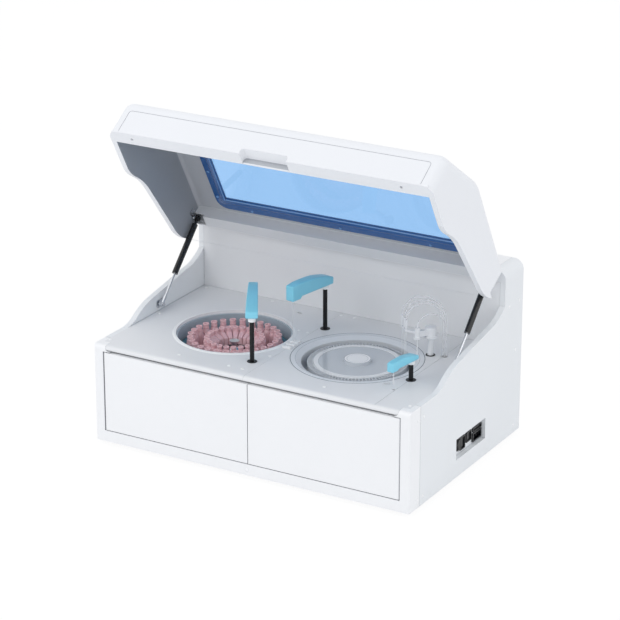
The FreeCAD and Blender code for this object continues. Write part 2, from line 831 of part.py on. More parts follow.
def hood_top():
    edge = HOOD_EDGE - SEAM
    top = block(-edge, edge, WALL_Y, BACK, HOOD - SHEET, HOOD)
    band = block(-edge, edge, WALL_Y, WALL_Y + SHEET, HOOD - HOOD_BAND, HOOD - SHEET)
    whole = fuse([top, band]).cut(hinge_edge_cut(WALL_Y, 1))
    return whole.cut(group(hinge_clearances())).cut(group(hinge_windows()))


def rear_wall():
    x = CHEEK_FACE - SEAM
    return block(-x, x, WALL_Y, WALL_Y + SHEET, DECK - CHEEK_SKIRT, HOOD - HOOD_BAND - SEAM)


def rear_panel():
    x = SIDE_FACE
    z = HOOD - SHEET
    r = EDGE_ROLL - SHEET
    k = r * (1 - math.cos(math.radians(45)))
    plate = prism_y([(-x, BASE), (x, BASE), (x, z - r), ("arc", (x - k, z - k), (x - r, z)),
                     (-x + r, z), ("arc", (-x + k, z - k), (-x, z - r))], REAR_FACE, BACK)
    slots = []
    for i in range(VENT_COUNT):
        z0 = VENT_HEIGHT + i * VENT_PITCH
        for side in (-1, 0, 1):
            x0 = VENT_X + side * (VENT_LENGTH + VENT_PITCH) - VENT_LENGTH / 2
            slots.append(block(x0, x0 + VENT_LENGTH, REAR_FACE - OVERRUN, BACK + OVERRUN,
                               z0, z0 + VENT_WIDTH))
    pitch = 2 * FAN_BORE / GRILLE_SLOTS
    for i in range(GRILLE_SLOTS):
        dz = (i - (GRILLE_SLOTS - 1) / 2) * pitch
        half = math.sqrt(FAN_BORE ** 2 - (abs(dz) + GRILLE_SLOT / 2) ** 2)
        z0 = FAN_HEIGHT + dz - GRILLE_SLOT / 2
        slots.append(block(FAN_X - half, FAN_X + half, REAR_FACE - OVERRUN, BACK + OVERRUN,
                           z0, z0 + GRILLE_SLOT))
    return plate.cut(group(slots))


# Deck

def deck_cutters():
    low = DECK - LIP_HEIGHT - OVERRUN
    high = DECK + OVERRUN
    rings = ((SAMPLE_X, SAMPLE_Y), (REAGENT_ARM_X, REAGENT_ARM_Y), (MIXER_X, MIXER_Y), (POST_X, POST_Y))
    cutters = [rod(REAGENT_X, REAGENT_Y, low, high, RIM_INNER + RIM_SLEEVE),
               rod(REACTION_X, REACTION_Y, low, high, BEZEL_OUTER)]
    cutters += [rod(x, y, low, high, RING_SLEEVE) for x, y in rings]
    for y in WELL_ROWS:
        cutters.append(rod(well_bore_x(), y, low, high, WELL_TUBE))
    x, y = paddle_place()
    cutters.append(rod(x, y, low, high, CUP_BORE))
    cutters.append(stadium(SLOT_X, SLOT_Y, SLOT_LENGTH, SLOT_WIDTH, SLOT_ANGLE, low, high))
    cutters.append(stadium(OVAL_X, OVAL_Y, OVAL_LENGTH, OVAL_WIDTH, 0, low, high))
    cutters.append(rod(TUBE_PORT_X, TUBE_PORT_Y, low, high, TUBE_PORT_RADIUS))
    cutters.append(block(DECK_LINE_X, DECK_LINE_X + DECK_LINE_WIDTH, FRONT, WALL_Y,
                         DECK - DECK_LINE_DEPTH, high))
    return cutters


def stadium(x, y, length, width, angle, z0, z1):
    half = length / 2 - width / 2
    body = block(x - half, x + half, y - width / 2, y + width / 2, z0, z1)
    ends = [rod(x - half, y, z0, z1, width / 2), rod(x + half, y, z0, z1, width / 2)]
    return turn(fuse([body] + ends), x, y, angle)


def deck_plate(x0, x1, lip0, lip1):
    plate = block(x0, x1, FRONT + FRAME_DEPTH, WALL_Y, DECK_UNDER, DECK)
    lip = prism_x(lip_profile(DECK - LIP_HEIGHT, LIP_HEIGHT), lip0, lip1)
    shelf = block(lip0, lip1, FRONT + LIP_HEIGHT, FRONT + FRAME_DEPTH, DECK_UNDER, DECK)
    arc_x = CHANNEL_END + CHANNEL_ARC
    arc_z = DECK - CHANNEL_ARC_DROP
    edge = group([rod_y(FRONT - OVERRUN, FRONT + FRAME_DEPTH, side * (RIGHT - arc_x), arc_z,
                        CHANNEL_ARC - SEAM) for side in (-1, 1)])
    ends = lip.cut(block(LEFT + arc_x, RIGHT - arc_x, FRONT - OVERRUN, FRONT + FRAME_DEPTH,
                         DECK - LIP_HEIGHT - OVERRUN, DECK + OVERRUN))
    low_ends = ends.common(block(LEFT, RIGHT, FRONT, FRONT + FRAME_DEPTH, DECK - LIP_HEIGHT, arc_z))
    lip = lip.cut(low_ends.cut(edge))
    return fuse([plate, lip, shelf]).cut(group(deck_cutters()))


def deck_plate_left():
    return deck_plate(-CHEEK_FACE, DECK_SPLIT - SEAM / 2, LEFT + CHANNEL_END + SEAM, DECK_SPLIT - SEAM / 2)


def deck_plate_right():
    return deck_plate(DECK_SPLIT + SEAM / 2, CHEEK_FACE, DECK_SPLIT + SEAM / 2,
                      RIGHT - CHANNEL_END - SEAM)


def dome(x, y, z):
    ball = (CAP_RADIUS ** 2 + CAP_HEIGHT ** 2) / (2 * CAP_HEIGHT)
    sphere = Part.makeSphere(ball, at(x, y, z + CAP_HEIGHT - ball))
    return sphere.common(rod(x, y, z, z + CAP_HEIGHT, CAP_RADIUS))


def side_dome(y, z):
    cap = dome(0, 0, 0)
    cap.rotate(at(0, 0, 0), at(0, 1, 0), 90)
    cap.translate(at(RIGHT, y, z))
    return cap


def screw_caps():
    caps = []
    front = FRONT + FRONT_CAP_Y
    rear = WALL_Y - REAR_CAP_Y
    caps += [dome(LEFT + x, front, DECK) for x in FRONT_CAPS_FROM_LEFT]
    caps += [dome(RIGHT - x, front, DECK) for x in FRONT_CAPS_FROM_RIGHT]
    caps += [dome(LEFT + x, rear, DECK) for x in REAR_CAPS_FROM_LEFT]
    caps += [dome(x, y, DECK) for x, y in MID_CAPS]
    caps.append(dome(LEFT + EDGE_CAP_FROM_LEFT, EDGE_CAP_Y, DECK))
    sides = [(FRONT + y, BASE + z) for y in SIDE_CAPS_FROM_FRONT for z in (SIDE_CAP_LOW, SIDE_CAP_HIGH)]
    sides += [(BACK - SIDE_CAPS_FROM_BACK, BASE + z) for z in (SIDE_CAP_LOW, SIDE_CAP_HIGH)]
    sides += [(BACK - y, BASE + HOOD_CAP_HEIGHT) for y in HOOD_CAPS_FROM_BACK]
    for y, z in sides:
        cap = side_dome(y, z)
        caps += [cap, mirrored(cap)]
    face = dome(0, 0, 0)
    face.rotate(at(0, 0, 0), at(1, 0, 0), 90)
    face.translate(at(FACE_CAP_X, FRONT, BASE + FACE_CAP_HEIGHT))
    caps.append(face)
    return group(caps)


# Reagent well

def well_rim():
    low = DECK - RIM_DROP
    sleeve = RIM_INNER + RIM_SLEEVE
    top = DECK + RIM_HEIGHT
    return turned([(RIM_INNER, low), (sleeve, low), (sleeve, DECK), (RIM_OUTER, DECK),
                   (RIM_FLAT, top), (RIM_INNER, top)], REAGENT_X, REAGENT_Y)


def tub_floor():
    return DECK - TUB_DEPTH


def reagent_tub():
    top = DECK - RIM_DROP
    under = top - TUB_FLANGE_WALL
    floor = tub_floor()
    outer = TUB_RADIUS + TUB_WALL
    bottom = floor - TUB_WALL
    boss = bottom - TUB_BOSS_DROP
    bore = SPINDLE_RADIUS + RUN
    points = [(bore, boss), (TUB_BOSS, boss), (TUB_BOSS, bottom), (outer, bottom), (outer, under),
              (TUB_FLANGE, under), (TUB_FLANGE, DECK_UNDER), (TUB_FLANGE - TUB_FLANGE_LIP, DECK_UNDER),
              (TUB_FLANGE - TUB_FLANGE_LIP, top), (TUB_RADIUS, top), (TUB_RADIUS, floor), (bore, floor)]
    return turned(points, REAGENT_X, REAGENT_Y)


def rack_floor():
    return tub_floor() + RACK_CLEARANCE


def spindle_low():
    return BASE + SPINDLE_FOOT


def reagent_rack():
    low = rack_floor()
    floor = low + RACK_WALL
    hub = DECK - HUB_DROP
    top = DECK - RACK_TOP_DROP
    wall = RACK_WALL_RADIUS + RACK_WALL
    points = [(0, spindle_low()), (SPINDLE_RADIUS, spindle_low()), (SPINDLE_RADIUS, low), (wall, low),
              (wall, top - RACK_WALL), (RACK_RADIUS, top - RACK_WALL), (RACK_RADIUS, top),
              (RACK_WALL_RADIUS, top), (RACK_WALL_RADIUS, floor), (HUB_RADIUS, floor),
              (HUB_RADIUS, hub), (0, hub)]
    return turned(points, REAGENT_X, REAGENT_Y)


def outer_bottle():
    low = rack_floor() + RACK_WALL
    top = DECK - OUTER_TOP_DROP
    neck = top - OUTER_NECK_HEIGHT
    shoulder = neck - OUTER_SHOULDER
    lip = top - BOTTLE_LIP_HEIGHT
    inside = OUTER_BODY - BOTTLE_WALL
    points = [(0, low), (OUTER_BODY, low), (OUTER_BODY, shoulder), (OUTER_NECK, neck), (OUTER_NECK, lip),
              (OUTER_LIP, lip), (OUTER_LIP, top), (OUTER_BORE, top), (OUTER_BORE, neck),
              (inside, shoulder - BOTTLE_WALL), (inside, low + BOTTLE_WALL), (0, low + BOTTLE_WALL)]
    return turned(points, REAGENT_X + OUTER_RING, REAGENT_Y)


def inner_bottle():
    low = rack_floor() + RACK_WALL
    top = DECK - INNER_TOP_DROP
    neck = top - INNER_NECK_HEIGHT
    near = neck - INNER_SLOPE_DROP
    lip = top - BOTTLE_LIP_HEIGHT
    x, y = REAGENT_X, REAGENT_Y
    half = math.radians(180 / INNER_COUNT)
    near_half = INNER_NEAR * math.tan(half) - INNER_GAP / 2
    far_half = INNER_FAR * math.tan(half) - INNER_GAP / 2
    plan = prism_z([(x + INNER_NEAR, y - near_half), (x + INNER_FAR, y - far_half),
                    (x + INNER_FAR, y + far_half), (x + INNER_NEAR, y + near_half)], low, neck)
    slope_x = x + INNER_RING - INNER_NECK - INNER_LAND
    side = prism_y([(x + INNER_NEAR, low), (x + INNER_FAR, low), (x + INNER_FAR, neck), (slope_x, neck),
                    (x + INNER_NEAR, near)], y - far_half, y + far_half)
    ring = x + INNER_RING
    neck_solids = [rod(ring, y, neck, lip, INNER_NECK), rod(ring, y, lip, top, INNER_LIP)]
    body = fuse([plan.common(side)] + neck_solids)
    return body.cut(rod(ring, y, low + BOTTLE_WALL, top + OVERRUN, INNER_BORE))


def ring_of(solid, x, y, count, phase):
    return group([turn(solid, x, y, phase + i * 360 / count) for i in range(count)])


def rack_knob():
    low = DECK - HUB_DROP
    top = low + KNOB_HEIGHT
    points = [(0, low), (KNOB_BASE, low), (KNOB_BASE, low + KNOB_CAP), (KNOB_WAIST, low + KNOB_FLARE + KNOB_CAP),
              (KNOB_WAIST, top - KNOB_CAP), (KNOB_TOP, top - KNOB_CAP), (KNOB_TOP, top), (0, top)]
    body = turned(points, REAGENT_X, REAGENT_Y)
    hole = rod_x(REAGENT_X - KNOB_TOP, REAGENT_X + KNOB_TOP, REAGENT_Y, low + KNOB_HOLE_HEIGHT, KNOB_HOLE)
    return body.cut(hole)


# Reaction bath and disk

def reaction_bezel():
    low = DECK - BEZEL_DROP - BEZEL_WALL
    rim = BEZEL_OUTER - SEAM
    ring = turned([(BEZEL_INNER, low), (BEZEL_FLANGE, low), (BEZEL_FLANGE, DECK_UNDER),
                   (rim, DECK_UNDER), (rim, DECK), (BEZEL_CREST, DECK),
                   (BEZEL_INNER, DECK - BEZEL_DROP)], REACTION_X, REACTION_Y)
    x, y = head_place()
    return ring.cut(rod(x, y, low - OVERRUN, DECK + OVERRUN, WASH_GUIDE_PORT))


def reaction_bath():
    top = DECK - BEZEL_DROP - BEZEL_WALL
    floor = DECK - BATH_DEPTH
    bottom = floor - BATH_FLOOR
    boss = bottom - BATH_BOSS_DROP
    outer = BEZEL_INNER + BATH_WALL
    bore = SPINDLE_RADIUS + RUN
    return turned([(bore, boss), (BATH_BOSS, boss), (BATH_BOSS, bottom), (outer, bottom), (outer, top),
                   (BEZEL_INNER, top), (BEZEL_INNER, floor), (bore, floor)], REACTION_X, REACTION_Y)


def reaction_rotor():
    top = DECK - ROTOR_TOP_DROP
    under = top - ROTOR_WALL
    rim = CUVETTE_INNER - FACE_GAP
    ring_low = DECK - CUVETTE_TOP_DROP - CUVETTE_HEIGHT
    flange_low = ring_low - ROTOR_FLANGE
    step = top + ROTOR_RING_STEP
    cap = top + ROTOR_CAP_HEIGHT
    points = [(0, spindle_low()), (SPINDLE_RADIUS, spindle_low()), (SPINDLE_RADIUS, under),
              (rim - ROTOR_WALL, under), (rim - ROTOR_WALL, flange_low), (CELL_NEAR, flange_low),
              (CELL_NEAR, ring_low), (rim, ring_low), (rim, step), (ROTOR_RING, step), (ROTOR_RING, top),
              (ROTOR_CAP_RADIUS, top), (ROTOR_CAP_RADIUS, cap), (0, cap)]
    return turned(points, REACTION_X, REACTION_Y)


def cuvette_ring():
    top = DECK - CUVETTE_TOP_DROP
    low = top - CUVETTE_HEIGHT
    ring = rod(REACTION_X, REACTION_Y, low, top, CUVETTE_OUTER, CUVETTE_INNER)
    cell = block(REACTION_X + CELL_NEAR, REACTION_X + CELL_FAR, REACTION_Y - CELL_WIDTH / 2,
                 REACTION_Y + CELL_WIDTH / 2, low + CELL_FLOOR, top + OVERRUN)
    return ring.cut(ring_of(cell, REACTION_X, REACTION_Y, CELL_COUNT, CELL_PHASE))


# Wash wells

def well_bore_x():
    return WELL_X + WELL_BORE_OFFSET


def wash_well(y):
    half = WELL_LENGTH / 2
    top = DECK + WELL_HEIGHT
    k = WELL_ROUND * (1 - math.cos(math.radians(45)))
    y0 = y - WELL_WIDTH / 2
    y1 = y + WELL_WIDTH / 2
    bar = prism_x([(y0, DECK), (y1, DECK), (y1, top - WELL_ROUND), ("arc", (y1 - k, top - k), (y1 - WELL_ROUND, top)),
                   (y0 + WELL_ROUND, top), ("arc", (y0 + k, top - k), (y0, top - WELL_ROUND))],
                  WELL_X - half, WELL_X + half)
    x = well_bore_x()
    tube = rod(x, y, top - WELL_TUBE_DEPTH, DECK, WELL_TUBE)
    return fuse([bar, tube]).cut(rod(x, y, top - WELL_BORE_DEPTH, top + OVERRUN, WELL_BORE))


def mixer_cup():
    x, y = paddle_place()
    low = DECK_UNDER - CUP_DEPTH
    return rod(x, y, low, DECK_UNDER, CUP_RADIUS).cut(rod(x, y, low + SLOT_WALL, DECK, CUP_BORE))


def slot_trough():
    low = DECK_UNDER - SLOT_DEPTH
    wall = 2 * SLOT_WALL
    outer = stadium(SLOT_X, SLOT_Y, SLOT_LENGTH + wall, SLOT_WIDTH + wall, SLOT_ANGLE, low, DECK_UNDER)
    return outer.cut(stadium(SLOT_X, SLOT_Y, SLOT_LENGTH, SLOT_WIDTH, SLOT_ANGLE, low + SLOT_WALL, DECK))


def wash_wells():
    return group([wash_well(y) for y in WELL_ROWS] + [mixer_cup(), slot_trough()])


def arm_base_rings():
    places = ((SAMPLE_X, SAMPLE_Y, RING_RADIUS, SHAFT_RADIUS), (REAGENT_ARM_X, REAGENT_ARM_Y, RING_RADIUS, SHAFT_RADIUS),
              (MIXER_X, MIXER_Y, RING_RADIUS, SHAFT_RADIUS), (POST_X, POST_Y, WASH_RING, WASH_POST))
    rings = []
    for x, y, outer, shaft in places:
        low = DECK - RING_DROP
        rings.append(turned([(shaft + RUN, low), (RING_SLEEVE, low), (RING_SLEEVE, DECK), (outer, DECK),
                             (outer, DECK + RING_HEIGHT / 2), (outer - RING_HEIGHT / 2, DECK + RING_HEIGHT),
                             (shaft + RUN, DECK + RING_HEIGHT)], x, y))
    return group(rings)


# Arms

def arm_cover(bottom, height, front, width, tip_width):
    """Hollow cover along +X from the column at the origin, open underneath."""
    def side(inset, low):
        x0 = -ARM_REAR + inset
        length = front + ARM_REAR - 2 * inset
        tall = height - inset
        low_points = [(x0 + u * length, bottom + v * height - low) for u, v in COVER_SIDE_SHARES[:4]]
        nose = COVER_SIDE_SHARES[4]
        t = [(x0 + u * length, bottom + v * tall) for u, v in COVER_TOP_SHARES]
        return low_points + [(x0 + nose[0] * length, bottom + nose[1] * tall), t[0], ("arc", t[1], t[2])]

    def plan(inset):
        x0 = -ARM_REAR + inset
        x1 = front - inset
        w0 = width / 2 - inset
        w1 = tip_width / 2 - inset
        return prism_z([(x0, -w0), (x1, -w1), (x1, w1), (x0, w0)], bottom - OVERRUN, bottom + height + OVERRUN)

    def body(inset, low):
        return prism_y(side(inset, low), -width, width).common(plan(inset))

    outer = body(0, 0)
    return outer, outer.cut(body(COVER_WALL, OVERRUN))


def arm(bottom, height, front, width, tip_width, reach, holder_bore):
    """Cover, column boss and probe holder in one, along +X from the origin."""
    outer, cover = arm_cover(bottom, height, front, width, tip_width)
    post = rod(0, 0, bottom, bottom + height, COLLAR_RADIUS).common(outer)
    boss = rod(0, 0, bottom - ARM_COLUMN_GAP, bottom + COVER_BOSS_SHARE * height, COLLAR_RADIUS)
    holder = rod(reach, 0, bottom + COVER_WALL / 2, bottom + HOLDER_TOP_SHARE * height, PROBE_HOLDER)
    inner = rod(reach, 0, bottom - OVERRUN, bottom + height / 2, holder_bore)
    whole = fuse([cover, post, boss, holder]).cut(inner)
    whole.translate(at(0, 0, DECK))
    return whole


def placed(shape, x, y, angle):
    copy = shape.copy()
    copy.translate(at(x, y, 0))
    return turn(copy, x, y, angle)


def sample_arm():
    whole = arm(SAMPLE_BOTTOM, SAMPLE_HEIGHT, SAMPLE_FRONT, ARM_WIDTH, ARM_TIP_WIDTH, SAMPLE_REACH, PROBE_SHEATH)
    return placed(whole, SAMPLE_X, SAMPLE_Y, SAMPLE_ANGLE)


def reagent_arm():
    whole = arm(REAGENT_BOTTOM, ARM_HEIGHT, REAGENT_ARM_FRONT, ARM_WIDTH, ARM_TIP_WIDTH,
                REAGENT_ARM_REACH, PROBE_SHEATH)
    return placed(whole, REAGENT_ARM_X, REAGENT_ARM_Y, REAGENT_ARM_ANGLE)


def mixer_arm():
    whole = arm(MIXER_BOTTOM, MIXER_HEIGHT, MIXER_FRONT, MIXER_WIDTH, MIXER_TIP_WIDTH, MIXER_REACH,
                PADDLE_SHAFT + RUN)
    bush_top = DECK + MIXER_BOTTOM + PADDLE_BUSH_HEIGHT
    room = rod(MIXER_REACH, 0, bush_top, bush_top + PADDLE_COLLAR_HEIGHT + 2 * FACE_GAP,
               PADDLE_COLLAR + FACE_GAP)
    return placed(whole.cut(room), MIXER_X, MIXER_Y, MIXER_ANGLE)


def shaft(x, y, arm_bottom):
    low = DECK - CARRIAGE_DROP
    under = low - FACE_GAP
    over = low + CARRIAGE_HEIGHT + FACE_GAP
    body = rod(x, y, under - SHAFT_COLLAR_HEIGHT, DECK + arm_bottom - ARM_COLUMN_GAP, SHAFT_RADIUS)
    collars = [rod(x, y, under - SHAFT_COLLAR_HEIGHT, under, SHAFT_COLLAR),
               rod(x, y, over, over + SHAFT_COLLAR_HEIGHT, SHAFT_COLLAR)]
    return fuse([body] + collars)


def probe(x, y, angle, reach, tip, bottom, height):
    px, py = ring_place(x, y, reach, angle)
    low = DECK + tip
    sheath_low = DECK + bottom - PROBE_SHEATH_DROP
    top = DECK + bottom + height / 2
    return turned([(0, low), (PROBE_RADIUS / 2, low), (PROBE_RADIUS, low + PROBE_POINT),
                   (PROBE_RADIUS, sheath_low), (PROBE_SHEATH, sheath_low), (PROBE_SHEATH, top), (0, top)], px, py)


def paddle_place():
    return ring_place(MIXER_X, MIXER_Y, MIXER_REACH, MIXER_ANGLE)


def mixer_paddle():
    x, y = paddle_place()
    low = DECK + PADDLE_TIP
    collar = DECK + MIXER_BOTTOM + PADDLE_BUSH_HEIGHT + FACE_GAP
    top = collar + PADDLE_COLLAR_HEIGHT
    spin = rod(x, y, low + PADDLE_HEIGHT / 2, top, PADDLE_SHAFT)
    blade = block(x - PADDLE_WIDTH / 2, x + PADDLE_WIDTH / 2, y - PADDLE_WALL / 2, y + PADDLE_WALL / 2,
                  low, low + PADDLE_HEIGHT)
    return fuse([spin, blade, rod(x, y, collar, top, PADDLE_COLLAR)])


# Drives

def carriage_block(x, y, bore):
    low = DECK - CARRIAGE_DROP
    body = block(x - CARRIAGE_BACK, x + CARRIAGE_FRONT, y - CARRIAGE_HALF_WIDTH, y + CARRIAGE_HALF_WIDTH,
                 low, low + CARRIAGE_HEIGHT)
    holes = [rod(x + GUIDE_OFFSET, y, low - OVERRUN, low + CARRIAGE_HEIGHT + OVERRUN, GUIDE_RADIUS + RUN)]
    if bore:
        holes.append(rod(x, y, low - OVERRUN, low + CARRIAGE_HEIGHT + OVERRUN, bore))
    return body.cut(group(holes))


def carriage(x, y, side):
    return turn(carriage_block(x, y, SHAFT_RADIUS + RUN), x, y, side)


def drive_frame(x, y, side, clear):
    top = DECK - DRIVE_TOP_DROP
    near = x + DRIVE_PLATE_NEAR
    far = near + DRIVE_PLATE_WALL
    w = DRIVE_HALF_WIDTH
    s = DRIVE_SHELF_HALF_WIDTH
    low = BASE + DRIVE_LOW_SHELF
    guide_x = x + GUIDE_OFFSET
    plate = block(near, far, y - w, y + w, TRAY_TOP, top)
    foot_plate = block(far, far + DRIVE_FOOT_LENGTH, y - w, y + w, TRAY_TOP, TRAY_TOP + DRIVE_SHELF)
    high_shelf = block(x - s, near, y - s, y + s, top - DRIVE_SHELF, top)
    low_shelf = block(guide_x - 2 * GUIDE_RADIUS, near, y - s, y + s, low, low + DRIVE_SHELF)
    frame = fuse([plate, foot_plate, high_shelf, low_shelf])
    frame = frame.cut(rod(x, y, top - DRIVE_SHELF - OVERRUN, top + OVERRUN, clear + RIM_HEIGHT))
    guide = rod(guide_x, y, low + DRIVE_SHELF, top - DRIVE_SHELF, GUIDE_RADIUS)
    motor_low = BASE + DRIVE_MOTOR_HEIGHT
    motor = block(far, far + DRIVE_MOTOR_LENGTH, y - DRIVE_MOTOR / 2, y + DRIVE_MOTOR / 2,
                  motor_low, motor_low + DRIVE_MOTOR)
    return [turn(frame, x, y, side), turn(guide, x, y, side)], turn(motor, x, y, side)


DRIVES = ((SAMPLE_X, SAMPLE_Y, 0, SHAFT_RADIUS), (REAGENT_ARM_X, REAGENT_ARM_Y, 90, SHAFT_RADIUS),
          (MIXER_X, MIXER_Y, 90, SHAFT_RADIUS), (POST_X, POST_Y, 90, WASH_POST))


def drive_frames():
    solids = []
    for x, y, side, clear in DRIVES:
        solids += drive_frame(x, y, side, clear)[0]
    return group(solids)


def disk_motor(x, y):
    half = DISK_MOTOR / 2
    top = spindle_low() - DISK_MOTOR_NOSE
    body = block(x - half, x + half, y - half, y + half, TRAY_TOP, top)
    return fuse([body, rod(x, y, top, spindle_low() - FACE_GAP, DISK_MOTOR_SPINDLE)])


def drive_motors():
    solids = [drive_frame(x, y, side, clear)[1] for x, y, side, clear in DRIVES]
    solids += [disk_motor(REAGENT_X, REAGENT_Y), disk_motor(REACTION_X, REACTION_Y)]
    half = SCREW_MOTOR / 2
    y = syringe_y()
    solids.append(block(-half, half, y - half, y + half, TRAY_TOP, BASE + SYRINGE_PLATE_LOW))
    return group(solids)


# Cuvette wash station

def head_place():
    return ring_place(REACTION_X, REACTION_Y, WASH_HEAD_RING, WASH_HEAD_ANGLE)


def bar_between(a, b, width, z0, z1):
    """A flat bar with round ends from one plan point to another."""
    length = math.hypot(b[0] - a[0], b[1] - a[1])
    angle = math.degrees(math.atan2(b[1] - a[1], b[0] - a[0]))
    return stadium((a[0] + b[0]) / 2, (a[1] + b[1]) / 2, length + width, width, angle, z0, z1)


def arched_tube(x, y, top, end_x, end_y):
    """A tube that rises from a nozzle, arches over and drops through the deck."""
    start = at(x, y, top)
    end = at(end_x, end_y, top)
    radius = math.hypot(end_x - x, end_y - y) / 2
    crown = at((x + end_x) / 2, (y + end_y) / 2, top + radius)
    foot_point = at(end_x, end_y, DECK - TUBE_DROP)
    path = Part.Wire([Part.Arc(start, crown, end).toShape(), Part.LineSegment(end, foot_point).toShape()])
    ring = Part.Wire(Part.makeCircle(TUBE_RADIUS, start, at(0, 0, 1)))
    return path.makePipeShell([ring], True, True)


def wash_head():
    post = (POST_X, POST_Y)
    head = head_place()
    nozzles = [ring_place(REACTION_X, REACTION_Y, NOZZLE_RING, a) for a in NOZZLE_ANGLES]
    low = DECK - CARRIAGE_DROP
    column = [turn(carriage_block(POST_X, POST_Y, 0), POST_X, POST_Y, 90),
              rod(POST_X, POST_Y, low + CARRIAGE_HEIGHT, DECK + WASH_POST_TOP, WASH_POST),
              rod(POST_X, POST_Y, DECK + WASH_POST_TOP - WASH_COLLAR_HEIGHT, DECK + WASH_POST_TOP, WASH_COLLAR),
              rod(POST_X, POST_Y, DECK + WASH_POST_TOP, DECK + WASH_BAR_LOW + WASH_CAP_HEIGHT, WASH_CAP)]
    bar = bar_between(post, head, WASH_BAR_WIDTH, DECK + WASH_BAR_LOW, DECK + WASH_BAR_LOW + WASH_BAR_HEIGHT)
    knuckle = [rod(head[0], head[1], DECK + WASH_FLANGE_LOW, DECK + WASH_HEAD_TOP, WASH_HEAD_RADIUS),
               rod(head[0], head[1], DECK + WASH_FLANGE_LOW, DECK + WASH_FLANGE_LOW + WASH_FLANGE_WALL, WASH_FLANGE),
               rod(head[0], head[1], DECK + WASH_GUIDE_TIP, DECK + WASH_FLANGE_LOW, PROBE_SHEATH)]
    chain = [head] + nozzles[::-1]
    plates = [bar_between(a, b, NOZZLE_PLATE_WIDTH, DECK + NOZZLE_LOW - NOZZLE_PLATE, DECK + NOZZLE_LOW)
              for a, b in zip(chain, chain[1:])]
    stems = []
    for x, y in nozzles:
        stems.append(rod(x, y, DECK + NOZZLE_LOW - NOZZLE_PLATE, DECK + NOZZLE_TOP, NOZZLE_RADIUS))
        stems.append(rod(x, y, DECK + NOZZLE_TIP, DECK + NOZZLE_LOW, PROBE_RADIUS))
    body = fuse(column + [bar] + knuckle + plates + stems)
    tubes = []
    for i, (x, y) in enumerate(nozzles):
        a = math.radians(i * 360 / len(nozzles))
        tubes.append(arched_tube(x, y, DECK + NOZZLE_TOP, TUBE_PORT_X + TUBE_SPREAD * math.cos(a),
                                 TUBE_PORT_Y + TUBE_SPREAD * math.sin(a)))
    tubes.append(arched_tube(head[0], head[1], DECK + WASH_HEAD_TOP, TUBE_PORT_X, TUBE_PORT_Y))
    return group([body] + tubes)


# Side connectors

def port_bodies():
    x0 = RIGHT - BOARD_X
    x1 = RIGHT - RECESS_DEPTH + PORT_PROUD
    return [block(x0, x1, y0, y1 - PORT_BACK_MARGIN, BASE + z0, BASE + z1) for y0, y1, z0, z1 in PORTS]


def inlet_body():
    x1 = RIGHT - RECESS_DEPTH + PORT_PROUD
    return block(RIGHT - BOARD_X, x1, INLET_FRONT, INLET_BACK, BASE + INLET_LOW, BASE + INLET_HIGH)


def switch_frame_body():
    x1 = RIGHT - RECESS_DEPTH + PORT_PROUD
    return block(x1 - SWITCH_DEPTH, x1, SWITCH_FRONT, SWITCH_BACK, BASE + SWITCH_LOW, BASE + SWITCH_HIGH)


def connectors():
    x1 = RIGHT - RECESS_DEPTH + PORT_PROUD
    solids = []
    for (y0, y1, z0, z1), body in zip(PORTS, port_bodies()):
        w = PORT_SOCKET_WALL
        socket = block(x1 - PORT_SOCKET_DEPTH, x1 + OVERRUN, y0 + w, y1 - PORT_BACK_MARGIN - w,
                       BASE + z0 + w, BASE + z1 - w)
        solids.append(body.cut(socket))
    inside = block(x1 - INLET_DEPTH, x1 + OVERRUN, INLET_FRONT + INLET_WALL, INLET_BACK - INLET_WALL,
                   BASE + INLET_LOW + INLET_WALL, BASE + INLET_HIGH - INLET_WALL)
    mid_y = (INLET_FRONT + INLET_BACK) / 2
    mid_z = BASE + (INLET_LOW + INLET_HIGH) / 2
    pins = [block(x1 - INLET_DEPTH - OVERRUN, x1 - INLET_WALL, mid_y + i * INLET_PIN_PITCH - INLET_PIN / 2,
                  mid_y + i * INLET_PIN_PITCH + INLET_PIN / 2, mid_z - INLET_PIN_HEIGHT / 2,
                  mid_z + INLET_PIN_HEIGHT / 2) for i in (-1, 0, 1)]
    solids.append(fuse([inlet_body().cut(inside)] + pins))
    f = SWITCH_FRAME
    hollow = block(x1 - SWITCH_DEPTH + f, x1 + OVERRUN, SWITCH_FRONT + f, SWITCH_BACK - f,
                   BASE + SWITCH_LOW + f, BASE + SWITCH_HIGH - f)
    x, z = switch_axis()
    pin = rod_y(SWITCH_FRONT + f / 2, SWITCH_BACK - f / 2, x, z, SWITCH_PIN)
    solids.append(fuse([switch_frame_body().cut(hollow), pin]))
    return group(solids)


def switch_axis():
    return RIGHT - RECESS_DEPTH + PORT_PROUD - SWITCH_PROUD, BASE + (SWITCH_LOW + SWITCH_HIGH) / 2


def power_switch():
    """Rocker with two shallow faces that meet over its pivot."""
    x, z = switch_axis()
    half = (SWITCH_HIGH - SWITCH_LOW) / 2 - SWITCH_FRAME - 4 * FACE_GAP
    face = x + SWITCH_PROUD
    ends = face + SWITCH_PROUD / 2
    back = x - 2 * SWITCH_PIN
    y0 = SWITCH_FRONT + SWITCH_FRAME + FACE_GAP
    y1 = SWITCH_BACK - SWITCH_FRAME - FACE_GAP
    body = prism_y([(back, z - half / 3), (face - SWITCH_PROUD / 3, z - half), (ends, z - half), (face, z),
                    (ends, z + half), (face - SWITCH_PROUD / 3, z + half), (back, z + half / 3)], y0, y1)
    return body.cut(rod_y(y0 - OVERRUN, y1 + OVERRUN, x, z, SWITCH_PIN + RUN))


# Doors

